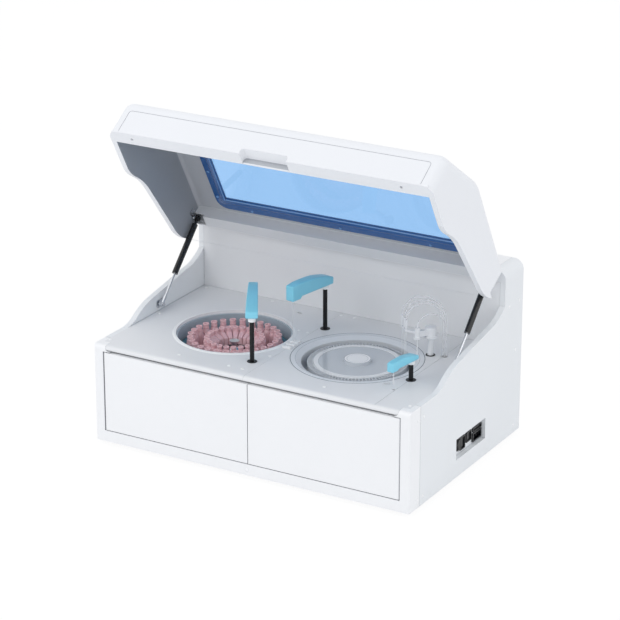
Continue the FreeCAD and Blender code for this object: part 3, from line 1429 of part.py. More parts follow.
def left_door():
    low = BASE + FRAME_BOTTOM + DOOR_GAP
    high = DECK - FRAME_TOP - DOOR_GAP
    x0 = LEFT + FRAME_MARGIN + DOOR_GAP
    x1 = -DOOR_GAP / 2
    y0 = FRONT
    y1 = FRONT + DOOR_DEPTH
    k = DOOR_PIVOT * (1 - math.cos(math.radians(45)))
    plan = [(x0 + DOOR_PIVOT, y0), (x1, y0), (x1, y1), (x0, y1), (x0, y0 + DOOR_PIVOT),
            ("arc", (x0 + k, y0 + k), (x0 + DOOR_PIVOT, y0))]
    body = prism_z(plan, low, high)
    w = DOOR_WALL
    room = block(x0 + DOOR_PIN_SOCKET, x1 - w, y0 + w, y1 + OVERRUN, low + w, high - w)
    mid = (x0 + x1) / 2
    rib = block(mid - DOOR_RIB / 2, mid + DOOR_RIB / 2, y0 + w, y1, low + w, high - w)
    px, py = x0 + DOOR_PIVOT, y0 + DOOR_PIVOT
    reach = DOOR_PIN_LENGTH - DOOR_GAP + FACE_GAP
    pins = group([rod(px, py, low - OVERRUN, low + reach, DOOR_PIN + RUN),
                  rod(px, py, high - reach, high + OVERRUN, DOOR_PIN + RUN)])
    return fuse([body.cut(room), rib]).cut(pins)


def door_pins():
    low = BASE + FRAME_BOTTOM
    high = DECK - FRAME_TOP
    x = RIGHT - FRAME_MARGIN - DOOR_GAP - DOOR_PIVOT
    y = FRONT + DOOR_PIVOT
    pins = []
    for side in (-1, 1):
        pins.append(rod(side * x, y, low - DOOR_PIN_LENGTH, low + DOOR_PIN_LENGTH, DOOR_PIN))
        pins.append(rod(side * x, y, high - DOOR_PIN_LENGTH, high + DOOR_PIN_LENGTH, DOOR_PIN))
    return pins


# Lid hinges

def hinge_clearances():
    """Room for the hinge barrels, over the full width of each hinge."""
    half = HINGE_HALF + SEAM
    return [rod_x(x - half, x + half, HINGE_Y, HINGE_Z, HINGE_CLEAR) for x in HINGE_XS]


def hinge_windows():
    """Where the hinge arms pass through the front band of the hood."""
    windows = []
    for x in HINGE_XS:
        for x0 in (x - HINGE_HALF, x + HINGE_HALF - HINGE_KNUCKLE):
            windows.append(block(x0 - SEAM, x0 + HINGE_KNUCKLE + SEAM, WALL_Y - OVERRUN,
                                 WALL_Y + SHEET + OVERRUN, HINGE_Z - HINGE_RADIUS - SEAM, HINGE_Z))
    return windows


def lid_hinge(x):
    solids = [rod_x(x - HINGE_HALF, x + HINGE_HALF, HINGE_Y, HINGE_Z, HINGE_PIN)]
    behind = WALL_Y + SHEET
    for x0 in (x - HINGE_HALF, x + HINGE_HALF - HINGE_KNUCKLE):
        x1 = x0 + HINGE_KNUCKLE
        solids.append(rod_x(x0, x1, HINGE_Y, HINGE_Z, HINGE_RADIUS))
        solids.append(block(x0, x1, HINGE_Y, behind + HINGE_LEAF, HINGE_Z - HINGE_RADIUS, HINGE_Z - SEAM))
    solids.append(block(x - HINGE_HALF, x + HINGE_HALF, behind, behind + HINGE_LEAF,
                        HINGE_Z - HINGE_LEAF_DROP, HINGE_Z - SEAM))
    return fuse(solids)


def hinge_pins():
    return group([lid_hinge(x) for x in HINGE_XS] + door_pins())


# Lid, drawn closed and then opened

def opened(shape):
    copy = shape.copy()
    copy.rotate(at(0, HINGE_Y, HINGE_Z), at(1, 0, 0), -LID_OPEN_ANGLE)
    return copy


def lid_low():
    return DECK + LID_GAP


def lid_side(inset):
    """Closed side outline of the lid: inset 0 is the outer skin."""
    rear = WALL_Y - LID_REAR_GAP - inset
    top = HOOD - inset
    low = lid_low()
    rise = HOOD - low
    nose = (FRONT - LID_FRONT_LEAN + inset, low + LID_FRONT_RISE - inset / 2)
    a = [(FRONT + y + inset / 2, low + v * rise - inset) for y, v in zip(LID_FLAT_ARC, LID_FLAT_ARC_RISE_SHARES)]
    foot_point = (FRONT + inset, low)
    corner = bend(a[1], nose, foot_point, LID_NOSE_RADIUS - inset)
    roof = [(rear, top), (FRONT + LID_FLAT_START, top), ("arc", a[0], a[1])] + corner
    if inset:
        return [foot_point, (FRONT + inset, low - OVERRUN), (rear, low - OVERRUN)] + roof
    lower = cheek_points(LID_GAP, FRONT, rear, low)
    return [(FRONT, low)] + lower[2:-2] + [(rear, low + CHEEK_RISE)] + roof


def rolled(solid, r):
    """Rounds the side edges of the lid along its front and over its top."""
    low = lid_low()
    half = solid.BoundBox.XMax
    rear = solid.BoundBox.YMax
    picked = []
    for edge in solid.Edges:
        c = edge.CenterOfMass
        front = c.y < FRONT + LID_NOSE_RADIUS and c.z > low + SEAM
        above = c.z > low + CHEEK_RISE and c.y < rear - SEAM
        if abs(abs(c.x) - half) < SEAM and (front or above):
            picked.append(edge)
    return solid.makeFillet(r, picked)


def lid_notch(inset):
    """Finger notch with round upper corners, open below."""
    r = NOTCH_CORNER + inset
    low = lid_low() - OVERRUN - r
    face = rounded(NOTCH_LEFT - inset, NOTCH_RIGHT + inset, low, lid_low() + NOTCH_HEIGHT + inset, r)
    return prism_y(face, FRONT - LID_FRONT_LEAN - OVERRUN, FRONT + NOTCH_DEPTH)


def lid_groove():
    """A fine line round the lower part of the front face."""
    low = lid_low() - OVERRUN
    high = lid_low() + LID_GROOVE_TOP
    x = RIGHT - LID_GROOVE_INSET
    g = LID_GROOVE
    outer = prism_y(rounded(-x, x, low, high, LID_GROOVE_CORNER), FRONT - LID_FRONT_RISE, FRONT + LID_FRONT_RISE)
    inner = prism_y(rounded(-x + g, x - g, low - g, high - g, LID_GROOVE_CORNER - g),
                    FRONT - LID_FRONT_RISE, FRONT + LID_FRONT_RISE)
    return outer.cut(inner)


def lid_front_skin():
    """The outer millimetre of the lid's front face."""
    lean = LID_FRONT_LEAN / LID_FRONT_RISE
    low = lid_low() - OVERRUN
    high = lid_low() + LID_FRONT_RISE
    y0 = FRONT - LID_FRONT_LEAN
    g = LID_GROOVE
    return prism_x([(FRONT + lean * OVERRUN + g, low), (y0 + g, high), (y0 - g, high),
                    (FRONT + lean * OVERRUN - g, low)], LEFT, RIGHT)


def lid_rear_box():
    """Hollow beam along the hinge, with its lower ends cut back for the strut ends."""
    rear = WALL_Y - LID_REAR_GAP
    x = CHEEK_FACE
    z0 = HOOD - LID_BOX_DROP
    front = rear - LID_BOX_DEPTH
    outer = block(-x, x, front, rear - LID_SKIN, z0, HOOD - LID_SKIN)
    w = LID_BOX_WALL
    room = block(-x, x, front + w, rear - w - LID_SKIN, z0 + w, HOOD - LID_SKIN - w)
    relief = block(RIGHT - LID_BOX_INSET, x, front - OVERRUN, rear, z0 - OVERRUN, z0 + LID_BOX_RELIEF)
    return outer.cut(group([room, relief, mirrored(relief)]))


def lid_rear_opening():
    """The back of the lid is open below the beam, between the side walls."""
    rear = WALL_Y - LID_REAR_GAP
    return block(-CHEEK_FACE, CHEEK_FACE, rear - LID_SKIN - OVERRUN, rear + OVERRUN,
                 lid_low() - OVERRUN, HOOD - LID_BOX_DROP)


def window_span(inset):
    """Outline of the glazing frame, drawn in by an inset."""
    x = RIGHT - WINDOW_INSET_X - inset
    return rounded(-x, x, FRONT + WINDOW_FRONT + inset, WALL_Y - WINDOW_REAR - inset,
                   WINDOW_FRAME_CORNER - inset)


def lid_knuckle(x):
    half = HINGE_HALF - HINGE_KNUCKLE - SEAM
    barrel = rod_x(x - half, x + half, HINGE_Y, HINGE_Z, HINGE_RADIUS)
    web = block(x - half, x + half, WALL_Y - LID_REAR_GAP - LID_SKIN, HINGE_Y,
                HINGE_Z - HINGE_RADIUS, HINGE_Z)
    return [barrel, web]


def lid_shell():
    low = lid_low()
    outer = rolled(prism_x(lid_side(0), LEFT, RIGHT), EDGE_ROLL)
    inner = rolled(prism_x(lid_side(LID_SKIN), -CHEEK_FACE, CHEEK_FACE), LID_INNER_RADIUS)
    shell = outer.cut(inner).cut(lid_rear_opening())
    x = CHEEK_FACE + SHEET
    rim_end = FRONT + LID_RIM_DEPTH
    rim = block(-x, x, FRONT + LID_SKIN / 2, rim_end, low, low + LID_SKIN)
    rim_wall = block(-x, x, rim_end - LID_SKIN, rim_end, low, low + LID_RIM_WALL)
    notch_box = lid_notch(DOOR_WALL).common(block(-x, x, FRONT, rim_end, low, HOOD))
    shell = fuse([shell, rim, rim_wall, notch_box, lid_rear_box()])
    holes = [rod(side * (RIGHT - inset), FRONT + RIM_HOLE_Y, low - OVERRUN, low + LID_SKIN + OVERRUN,
                 RIM_HOLE_RADIUS) for side, inset in zip((-1, 1), RIM_HOLES_FROM_SIDE)]
    opening = prism_z(window_span(WINDOW_LIP), HOOD - LID_SKIN - OVERRUN, HOOD + OVERRUN)
    shell = shell.cut(group(holes + [opening, lid_notch(0)]))
    shell = shell.cut(lid_groove().common(lid_front_skin()))
    shell = shell.cut(hinge_edge_cut(WALL_Y - LID_REAR_GAP, -1)).cut(group(hinge_clearances()))
    for x in HINGE_XS:
        shell = fuse([shell] + lid_knuckle(x))
    pins = [rod_x(x - HINGE_HALF, x + HINGE_HALF, HINGE_Y, HINGE_Z, HINGE_PIN + RUN) for x in HINGE_XS]
    return opened(shell.cut(group(pins)))


def lid_window():
    high = HOOD - LID_SKIN
    return opened(prism_z(window_span(WINDOW_LIP - WINDOW_PANE_LAP), high - WINDOW_PANE, high))


def lid_window_frame():
    high = HOOD - LID_SKIN
    low = high - WINDOW_FRAME_DEPTH
    body = prism_z(window_span(0), low, high)
    seat = prism_z(window_span(WINDOW_LIP - WINDOW_PANE_LAP), high - WINDOW_PANE, high + OVERRUN)
    x = RIGHT - WINDOW_INSET_X - WINDOW_FRAME_SIDE
    sight = prism_z(rounded(-x, x, FRONT + WINDOW_FRONT + WINDOW_FRAME_END,
                            WALL_Y - WINDOW_REAR - WINDOW_FRAME_END, WINDOW_FRAME_CORNER / 2),
                    low - OVERRUN, high)
    return opened(body.cut(seat).cut(sight))


# Gas struts

def strut_slope():
    dy = STRUT_HIGH_Y - STRUT_LOW_Y
    dz = STRUT_HIGH_Z - STRUT_LOW_Z
    return math.hypot(dy, dz), math.degrees(math.atan2(dz, dy))


def strut_bar(s0, s1, radius, bore=0):
    """A round bar along the strut on the left, from its lower pivot."""
    length, slope = strut_slope()
    a = math.radians(slope)
    x = LEFT + STRUT_INSET
    y = FRONT + STRUT_LOW_Y
    z = DECK + STRUT_LOW_Z
    along = at(0, math.cos(a), math.sin(a))
    solid = Part.makeCylinder(radius, s1 - s0, at(x, y + s0 * along.y, z + s0 * along.z), along)
    if bore:
        start = s0 - OVERRUN
        solid = solid.cut(Part.makeCylinder(bore, s1 - s0, at(x, y + start * along.y, z + start * along.z), along))
    return solid


def strut_eye(s, radius):
    length, slope = strut_slope()
    a = math.radians(slope)
    x = LEFT + STRUT_INSET
    return rod_x(x - STRUT_EYE_HALF, x + STRUT_EYE_HALF, FRONT + STRUT_LOW_Y + s * math.cos(a),
                 DECK + STRUT_LOW_Z + s * math.sin(a), radius)


def left_strut_rod():
    x = LEFT + STRUT_INSET
    parts = [strut_eye(0, STRUT_EYE), strut_bar(STRUT_NECK, STRUT_SOCKET_END, STRUT_SOCKET),
             strut_bar(STRUT_SOCKET_END, STRUT_ROD_END, STRUT_ROD)]
    bore = rod_x(x - STRUT_INSET, x + STRUT_INSET, FRONT + STRUT_LOW_Y, DECK + STRUT_LOW_Z, STUD_RADIUS + RUN)
    return fuse(parts).cut(bore)


def left_strut_cylinder():
    length, slope = strut_slope()
    tube = strut_bar(STRUT_TUBE_START, STRUT_TUBE_END, STRUT_TUBE)
    hole = strut_bar(STRUT_TUBE_START - OVERRUN, STRUT_TUBE_END - STRUT_TUBE_CAP, STRUT_ROD + STRUT_ROD_GAP)
    return fuse([tube.cut(hole), strut_bar(STRUT_TUBE_END, length, STRUT_NECK),
                 strut_eye(length, STRUT_EYE + OVERRUN)])


def bracket(y, z, ahead, behind):
    """Plate on the inner face of the left side, round its pivot."""
    x0 = -CHEEK_FACE
    half = BRACKET_WIDTH / 2
    plate = prism_x(rounded(y - ahead, y + behind, z - half, z + half, BRACKET_CORNER), x0, x0 + BRACKET_WALL)
    return plate


def bracket_screws(y, z, away):
    x = -CHEEK_FACE + BRACKET_WALL
    drops = (BRACKET_SCREW_DROP, BRACKET_SCREW_DROP + BRACKET_SCREW_PITCH)
    return [rod_x(x, x + BRACKET_SCREW_HEIGHT, y + away * d, z, BRACKET_SCREW) for d in drops]


def strut_lower_brackets():
    y = FRONT + STRUT_LOW_Y
    z = DECK + STRUT_LOW_Z
    x = -CHEEK_FACE + BRACKET_WALL
    eye_end = LEFT + STRUT_INSET + STRUT_EYE_HALF
    stud = rod_x(x, eye_end + FACE_GAP + STUD_HEAD_HEIGHT, y, z, STUD_RADIUS)
    head = rod_x(eye_end + FACE_GAP, eye_end + FACE_GAP + STUD_HEAD_HEIGHT, y, z, STUD_HEAD)
    left = fuse([bracket(y, z, BRACKET_ABOVE, BRACKET_BELOW), stud, head] + bracket_screws(y, z, 1))
    return group([left, mirrored(left)])


def strut_upper_brackets():
    y = FRONT + STRUT_HIGH_CLOSED_Y
    z = DECK + STRUT_HIGH_CLOSED_Z
    x = -CHEEK_FACE + BRACKET_WALL
    boss = rod_x(x, LEFT + STRUT_INSET - STRUT_EYE_HALF - FACE_GAP, y, z, STRUT_EYE)
    left = opened(fuse([bracket(y, z, BRACKET_BELOW, BRACKET_ABOVE), boss] + bracket_screws(y, z, -1)))
    return group([left, mirrored(left)])


# Interior

def syringe_y():
    return FRONT + BULKHEAD_Y - SYRINGE_Y


def barrel_low():
    return BASE + SYRINGE_VALVE_LOW - BARREL_LENGTH


def syringe_barrels():
    y1 = FRONT + BULKHEAD_Y
    y0 = y1 - SYRINGE_PLATE
    w = SYRINGE_PLATE_HALF
    low = BASE + SYRINGE_PLATE_LOW
    valve = BASE + SYRINGE_VALVE_LOW
    top = valve + SYRINGE_VALVE_HEIGHT
    plate = block(-w, w, y0, y1, low, top)
    head = block(-w, w, y0 - SYRINGE_VALVE_DEPTH, y0, valve, top)
    shelf = block(-w, w, y0 - SYRINGE_VALVE_DEPTH, y0, low, low + SCREW_SHELF)
    screw = rod(0, syringe_y(), low + SCREW_SHELF, valve, SCREW_RADIUS)
    barrels = [rod(side * SYRINGE_X, syringe_y(), barrel_low(), valve, BARREL_RADIUS, BARREL_BORE)
               for side in (-1, 1)]
    return group([plate, head, shelf, screw] + barrels)


def syringe_plungers():
    y = syringe_y()
    low = BASE + CROSSBAR_LOW
    top = low + CROSSBAR_HEIGHT
    head_low = barrel_low() + PLUNGER_HEAD
    half = CROSSBAR_DEPTH / 2
    solids = [block(-CROSSBAR_HALF, CROSSBAR_HALF, y - half, y + half, low, top)]
    for side in (-1, 1):
        solids.append(rod(side * SYRINGE_X, y, top, head_low, PLUNGER_ROD))
        solids.append(rod(side * SYRINGE_X, y, head_low, head_low + PLUNGER_HEAD, BARREL_BORE - RUN))
    return fuse(solids).cut(rod(0, y, low - OVERRUN, top + OVERRUN, SCREW_RADIUS + RUN))


def power_supply():
    x1 = SUPPLY_X + SUPPLY_LENGTH
    y1 = SUPPLY_Y + SUPPLY_WIDTH
    top = TRAY_TOP + SUPPLY_HEIGHT
    body = block(SUPPLY_X, x1, SUPPLY_Y, y1, TRAY_TOP, top)
    slots = []
    for i in range(VENT_COUNT):
        x0 = SUPPLY_X + (i + 1) * VENT_PITCH
        slots.append(block(x0, x0 + VENT_WIDTH, SUPPLY_Y + VENT_PITCH, y1 - VENT_PITCH, top - RIM_HEIGHT,
                           top + OVERRUN))
    return body.cut(group(slots))


def control_board():
    x1 = RIGHT - BOARD_X
    return block(x1 - BOARD_WALL, x1, BOARD_FRONT, BOARD_BACK, TRAY_TOP, BASE + BOARD_TOP)


def cooling_unit():
    half = COOLER_SIZE / 2
    top = tub_floor() - TUB_WALL
    under = top - COOLER_PLATE
    y0 = REAGENT_Y - half
    solids = [block(COOLER_X - half, COOLER_X + half, y0, y0 + COOLER_SIZE, under, top)]
    pitch = (COOLER_SIZE - COOLER_FIN_WALL) / (COOLER_FINS - 1)
    for i in range(COOLER_FINS):
        y = y0 + i * pitch
        solids.append(block(COOLER_X - half, COOLER_X + half, y, y + COOLER_FIN_WALL,
                            under - COOLER_FIN_HEIGHT, under))
    return fuse(solids)


def fluid_pump(x):
    half = PUMP_BASE / 2
    body_low = TRAY_TOP + PUMP_BASE_HEIGHT
    body_top = body_low + PUMP_HEIGHT
    return fuse([block(x - half, x + half, PUMP_Y - half, PUMP_Y + half, TRAY_TOP, body_low),
                 rod(x, PUMP_Y, body_low, body_top, PUMP_RADIUS),
                 rod(x, PUMP_Y, body_top, body_top + PUMP_HEAD_HEIGHT, PUMP_HEAD)])


def fluid_pumps():
    first = LEFT + PUMP_FROM_LEFT
    return group([fluid_pump(first), fluid_pump(first + PUMP_PITCH)])


def fan_frame():
    half = FAN_SIZE / 2
    y1 = REAR_FACE
    y0 = y1 - FAN_DEPTH
    body = block(FAN_X - half, FAN_X + half, y0, y1, FAN_HEIGHT - half, FAN_HEIGHT + half)
    body = body.cut(rod_y(y0 - OVERRUN, y1 + OVERRUN, FAN_X, FAN_HEIGHT, FAN_BORE))
    w = FAN_SPOKE / 2
    reach = FAN_BORE + OVERRUN
    spokes = [block(FAN_X - reach, FAN_X + reach, y0, y0 + FAN_SPOKE_WALL, FAN_HEIGHT - w, FAN_HEIGHT + w),
              block(FAN_X - w, FAN_X + w, y0, y0 + FAN_SPOKE_WALL, FAN_HEIGHT - reach, FAN_HEIGHT + reach)]
    hub = [rod_y(y0, y0 + FAN_SPOKE_WALL, FAN_X, FAN_HEIGHT, FAN_HUB),
           rod_y(y0, y0 + FAN_SPOKE_WALL + FAN_ROTOR_DEPTH, FAN_X, FAN_HEIGHT, FAN_PIN)]
    return fuse([body] + spokes + hub)


def fan_rotor():
    y0 = REAR_FACE - FAN_DEPTH + FAN_SPOKE_WALL + FACE_GAP
    hub = rod_y(y0, y0 + FAN_ROTOR_DEPTH, FAN_X, FAN_HEIGHT, FAN_HUB)
    mid = y0 + FAN_ROTOR_DEPTH / 2
    half = FAN_BLADE_DEPTH / 2
    blades = []
    for i in range(FAN_BLADES):
        blade = block(FAN_X - half, FAN_X + half, mid - FAN_BLADE_WALL / 2, mid + FAN_BLADE_WALL / 2,
                      FAN_HEIGHT + FAN_HUB - FAN_BLADE_WALL, FAN_HEIGHT + FAN_BLADE_SPAN)
        blade.rotate(at(FAN_X, mid, FAN_HEIGHT), at(0, 0, 1), FAN_BLADE_PITCH)
        blade.rotate(at(FAN_X, mid, FAN_HEIGHT), at(0, 1, 0), i * 360 / FAN_BLADES)
        blades.append(blade)
    bore = rod_y(y0 - OVERRUN, y0 + FAN_ROTOR_DEPTH + OVERRUN, FAN_X, FAN_HEIGHT, FAN_PIN + RUN)
    return fuse([hub] + blades).cut(bore)


def make_all():
    rack = (REAGENT_X, REAGENT_Y)
    bottles = [ring_of(outer_bottle(), *rack, OUTER_COUNT, OUTER_PHASE),
               ring_of(inner_bottle(), *rack, INNER_COUNT, INNER_PHASE)]
    strut_rod = left_strut_rod()
    strut_tube = left_strut_cylinder()
    door = left_door()
    sample = (SAMPLE_X, SAMPLE_Y)
    reagent = (REAGENT_ARM_X, REAGENT_ARM_Y)
    mixer = (MIXER_X, MIXER_Y)
    return [
        ("feet", feet()),
        ("base_tray", base_tray()),
        ("chassis_frame", chassis_frame()),
        ("front_frame", front_frame()),
        ("left_side_panel", mirrored(side_panel())),
        ("right_side_panel", right_side_panel()),
        ("hood_top", hood_top()),
        ("rear_wall", rear_wall()),
        ("rear_panel", rear_panel()),
        ("deck_plate_left", deck_plate_left()),
        ("deck_plate_right", deck_plate_right()),
        ("screw_caps", screw_caps()),
        ("well_rim", well_rim()),
        ("reagent_tub", reagent_tub()),
        ("reagent_rack", reagent_rack()),
        ("reagent_bottles", group(bottles)),
        ("rack_knob", rack_knob()),
        ("reaction_bezel", reaction_bezel()),
        ("reaction_bath", reaction_bath()),
        ("reaction_rotor", reaction_rotor()),
        ("cuvette_ring", cuvette_ring()),
        ("wash_wells", wash_wells()),
        ("arm_base_rings", arm_base_rings()),
        ("sample_carriage", carriage(*sample, 0)),
        ("sample_shaft", shaft(*sample, SAMPLE_BOTTOM)),
        ("sample_arm", sample_arm()),
        ("sample_probe", probe(*sample, SAMPLE_ANGLE, SAMPLE_REACH, SAMPLE_PROBE_TIP, SAMPLE_BOTTOM,
                               SAMPLE_HEIGHT)),
        ("reagent_carriage", carriage(*reagent, 90)),
        ("reagent_shaft", shaft(*reagent, REAGENT_BOTTOM)),
        ("reagent_arm", reagent_arm()),
        ("reagent_probe", probe(*reagent, REAGENT_ARM_ANGLE, REAGENT_ARM_REACH, REAGENT_PROBE_TIP,
                                REAGENT_BOTTOM, ARM_HEIGHT)),
        ("mixer_carriage", carriage(*mixer, 90)),
        ("mixer_shaft", shaft(*mixer, MIXER_BOTTOM)),
        ("mixer_arm", mixer_arm()),
        ("mixer_paddle", mixer_paddle()),
        ("drive_frames", drive_frames()),
        ("drive_motors", drive_motors()),
        ("wash_head", wash_head()),
        ("connectors", connectors()),
        ("power_switch", power_switch()),
        ("left_door", door),
        ("right_door", mirrored(door)),
        ("hinge_pins", hinge_pins()),
        ("lid_shell", lid_shell()),
        ("lid_window", lid_window()),
        ("lid_window_frame", lid_window_frame()),
        ("strut_lower_brackets", strut_lower_brackets()),
        ("strut_upper_brackets", strut_upper_brackets()),
        ("left_strut_rod", strut_rod),
        ("right_strut_rod", mirrored(strut_rod)),
        ("left_strut_cylinder", strut_tube),
        ("right_strut_cylinder", mirrored(strut_tube)),
        ("syringe_barrels", syringe_barrels()),
        ("syringe_plungers", syringe_plungers()),
        ("power_supply", power_supply()),
        ("control_board", control_board()),
        ("cooling_unit", cooling_unit()),
        ("fluid_pumps", fluid_pumps()),
        ("fan_frame", fan_frame()),
        ("fan_rotor", fan_rotor()),
    ]


os.makedirs("parts", exist_ok=True)
for node, node_shape in make_all():
    save(node, node_shape)
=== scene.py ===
import math

import bmesh
import bpy
import numpy as np
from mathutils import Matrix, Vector


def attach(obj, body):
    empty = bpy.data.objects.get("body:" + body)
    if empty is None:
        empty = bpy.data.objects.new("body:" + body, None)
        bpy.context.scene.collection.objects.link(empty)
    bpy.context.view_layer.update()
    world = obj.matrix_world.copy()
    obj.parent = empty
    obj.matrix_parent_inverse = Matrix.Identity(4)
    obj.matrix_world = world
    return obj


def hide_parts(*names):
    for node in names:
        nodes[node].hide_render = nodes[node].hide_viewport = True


# Benchtop chemistry analyzer, lid open. Lengths are in millimetres here and become metres in each mesh.
MM = 0.001

# Vertices closer than this, in metres, become one
MERGE = 1e-6

# Photograph: the camera stands to the front right, looking down at the open instrument
CAMERA_AT = (2954.0, -5108.8, 2586.2)
CAMERA_AZIMUTH = 30.01
CAMERA_ELEVATION = 20.90
CAMERA_LENS = 152.75
SENSOR = 36.0

# The instrument
HALF_WIDTH = 430.0
FRONT = -287.0
WALL_Y = 189.0
HOOD = 450.0
WELL = (-177.0, -54.0)
BATH = (162.5, -51.0)

# Lid on its hinge: level of its rim when shut, skin, side walls, and the slope from its nose up to its roof
HINGE_Y = 188.6
HINGE_Z = 446.0
LID_OPEN = 60.8
LID_LOW = 262.0
LID_SKIN = 4.0
LID_SIDE_WALL = 14.0
LID_REAR_GAP = 2.0
LID_RIM = 35.0
LID_LEAN = 8.0
NOSE_HEIGHT = 356.0
SLOPE_END = 151.4
SLOPE_HEIGHT = 439.34
SLOPE_SKIN = 2.4

# Lining inside the lid: where it starts behind the front, and the front and underside of the hinge beam
LINING_START = 30.0
BEAM_FRONT = 152.2
BEAM_LOW = 411.0
SIDE_LINING = 0.5

# How far a change of colour lies past the face where it belongs
EASE = 0.2

# Tubes of the wash head: the port that they come down to, and the level above which there are only tubes
TUBE_PORT = (336.3, 59.6)
TUBE_PORT_REACH = 12.0
TUBE_START = 350.0
TUBE_CLEARNESS = 0.72

# Shade in seams and corners
SEAM_SHADE_GREY = (150, 155, 162)
SEAM_SHADE_STRENGTH = 0.85
SEAM_SAMPLES = 6

# Rings of other colours: inner radius, outer radius, colour
RACK_BANDS = [(0.0, 41.0, (34, 36, 40))]
ROTOR_BANDS = [
    (93.0, 105.0, (240, 241, 243)),
    (92.2, 93.0, (150, 156, 164)),
    (0.0, 31.0, (250, 250, 251)),
    (31.0, 32.0, (140, 146, 154)),
    (24.6, 25.6, (196, 200, 206)),
]
# On the bezel, the dark ring where it meets the deck is painted shadow of the deck's edge; the other is a
# grey line
BEZEL_EDGE_SHADOW_AND_RING = [(158.6, 161.0, (132, 138, 146)), (147.0, 148.0, (176, 181, 188))]

# Reagent bottles: count, ring radius and first angle of each ring, then the levels and sizes of a bottle
BOTTLE_FOOT = 153.0
BOTTLE_WALL = 1.4
FOOT_EDGE = 0.8
OUTER_BOTTLES = (28, 107.5, 123.7)
OUTER_TOP = 252.0
OUTER_NECK = 238.0
OUTER_SHOULDER = 231.0
OUTER_RADIUS = 11.0
OUTER_THROAT = 7.0
OUTER_BEAD = 7.9
OUTER_LIP = 8.0
OUTER_BORE = 5.6
INNER_BOTTLES = (24, 67.5, 119.3)
INNER_TOP = 248.0
INNER_NECK = 238.0
INNER_SLOPE = 9.0
INNER_NEAR = 43.0
INNER_FAR = 76.0
INNER_GAP = 1.4
INNER_SHY = 0.1
INNER_CORNER = 1.5
INNER_HALF = 12.0
INNER_THROAT = 6.3
INNER_LIP = 7.4
INNER_BORE = 5.0

# Edges of the body of an inner bottle: how far it draws in, and the height over its foot or its top
INNER_FOOT_EDGES = ((0.6, 0.0), (0.0, FOOT_EDGE))
INNER_TOP_EDGES = ((0.0, -1.2), (0.3, -0.35), (1.0, 0.0))

# Gasket of the reagent well, as a closed line of radius and height
GASKET = ((138.3, 244.6), (141.4, 244.6), (141.8, 246.0), (141.4, 249.4), (138.6, 249.4), (138.1, 248.0),
          (138.3, 244.6))

# Arms: column place, direction, length, level, height, widths
SAMPLE = dict(x=-41.0, y=-196.3, angle=119.81, front=156.0, low=367.3, height=37.9, width=30.0, tip=23.0)
REAGENT = dict(x=2.6, y=74.7, angle=-99.15, front=136.0, low=370.3, height=41.2, width=30.0, tip=23.0)
MIXER = dict(x=336.9, y=-110.1, angle=-96.0, front=87.0, low=306.5, height=24.0, width=25.0, tip=18.0)
ARM_REAR = 15.0
ARM_EDGE = 3.2
ARM_LEAST_EDGE = 0.4
ARM_SECTIONS = 60
ARM_BEND = 6

# Collar of an arm, as radius and height: its lower part from its foot, its groove and rim from its top
COLLAR_DROP = 6.0
COLLAR_SHARE = 0.14
COLLAR_LAP = 1.0
COLLAR_FOOT = ((5.6, 0.0), (8.4, 0.0), (9.0, 0.6))
COLLAR_TOP = ((9.0, -3.0), (8.5, -2.6), (8.5, -2.2), (9.0, -1.8), (9.0, 0.0), (5.6, 0.0))

# Probe holders: distance from the column, and section as radius and height from the arm's level
PROBE_REACHES = {"sample": 142.9, "reagent": 123.3}
HOLDER = ((0.0, 2.0), (3.6, 2.0), (3.6, -1.0), (2.8, -2.0), (2.0, -5.0), (0.0, -5.0))

# Window frame on the shut lid: outline as left, right, front, rear and corner radius, and how far its
# sections are stretched along X and along Y
FRAME_UNDER = HOOD - 14.0
FRAME_OUTLINE = (-348.0, 348.0, -87.0, 134.0, 30.0)
FRAME_WIDEN = (1.0, 1.2)

# Sections of the frame and of the bead on its inner lip, outward from the outline and up from the underside
FRAME_SECTION = (
    (0.0, 10.0), (0.0, 2.0), (-0.8, 0.6), (-2.0, 0.0), (-17.0, 0.0), (-17.6, 1.2), (-19.0, 1.2),
    (-19.6, 0.0), (-26.4, 0.0), (-28.2, 0.8), (-29.2, 2.4), (-29.8, 5.0), (-30.0, 7.0), (-30.0, 8.0),
    (-8.0, 8.0), (-8.0, 10.0),
)
EDGE_SECTION = ((-27.0, -0.3), (-28.4, 0.3), (-29.0, 1.4), (-28.6, 1.8), (-26.8, 0.4), (-27.0, -0.3))

# Screws of the window frame: rows and columns, the pairs at its ends, and their section
SCREW_COLUMNS = (-247.0, 2.0, 249.0)
SCREW_ROWS = (-79.0, 126.0)
END_SCREW_COLUMNS = (-338.0, 338.0)
END_SCREW_ROWS = (5.0, 93.0)
SCREW_SECTION = ((0.0, 1.0), (3.6, 1.0), (3.6, -0.6), (3.0, -1.6), (1.7, -2.0), (1.6, -1.0), (0.0, -1.0))

# Studio, in metres and watts. Lamps: name, place, aim, size, power
CAMERA_REACH = 60.0
FLOOR_HALF = 30.0
LAMPS = [
    ("front_soft_box", (-1.6, -3.2, 2.6), (0, 0, 0.25), (2.4, 2.0), 26),
    ("top_soft_box", (0.4, -0.6, 3.4), (0, 0, 0.2), (2.6, 2.2), 6),
    ("right_fill", (3.4, -0.8, 1.6), (0, 0, 0.3), (1.8, 1.6), 11),
]
WHITE = (1, 1, 1, 1)
SKY = (0.95, 0.97, 1.0, 1)
SKY_STRENGTH = 0.82
FLOOR_GREY = (0.86, 0.87, 0.88, 1)
FLOOR_ROUGH = 0.7
FLOOR_GLOW = 0.93
FLOOR_SHADOW = (0.09, 0.09, 0.09, 1)

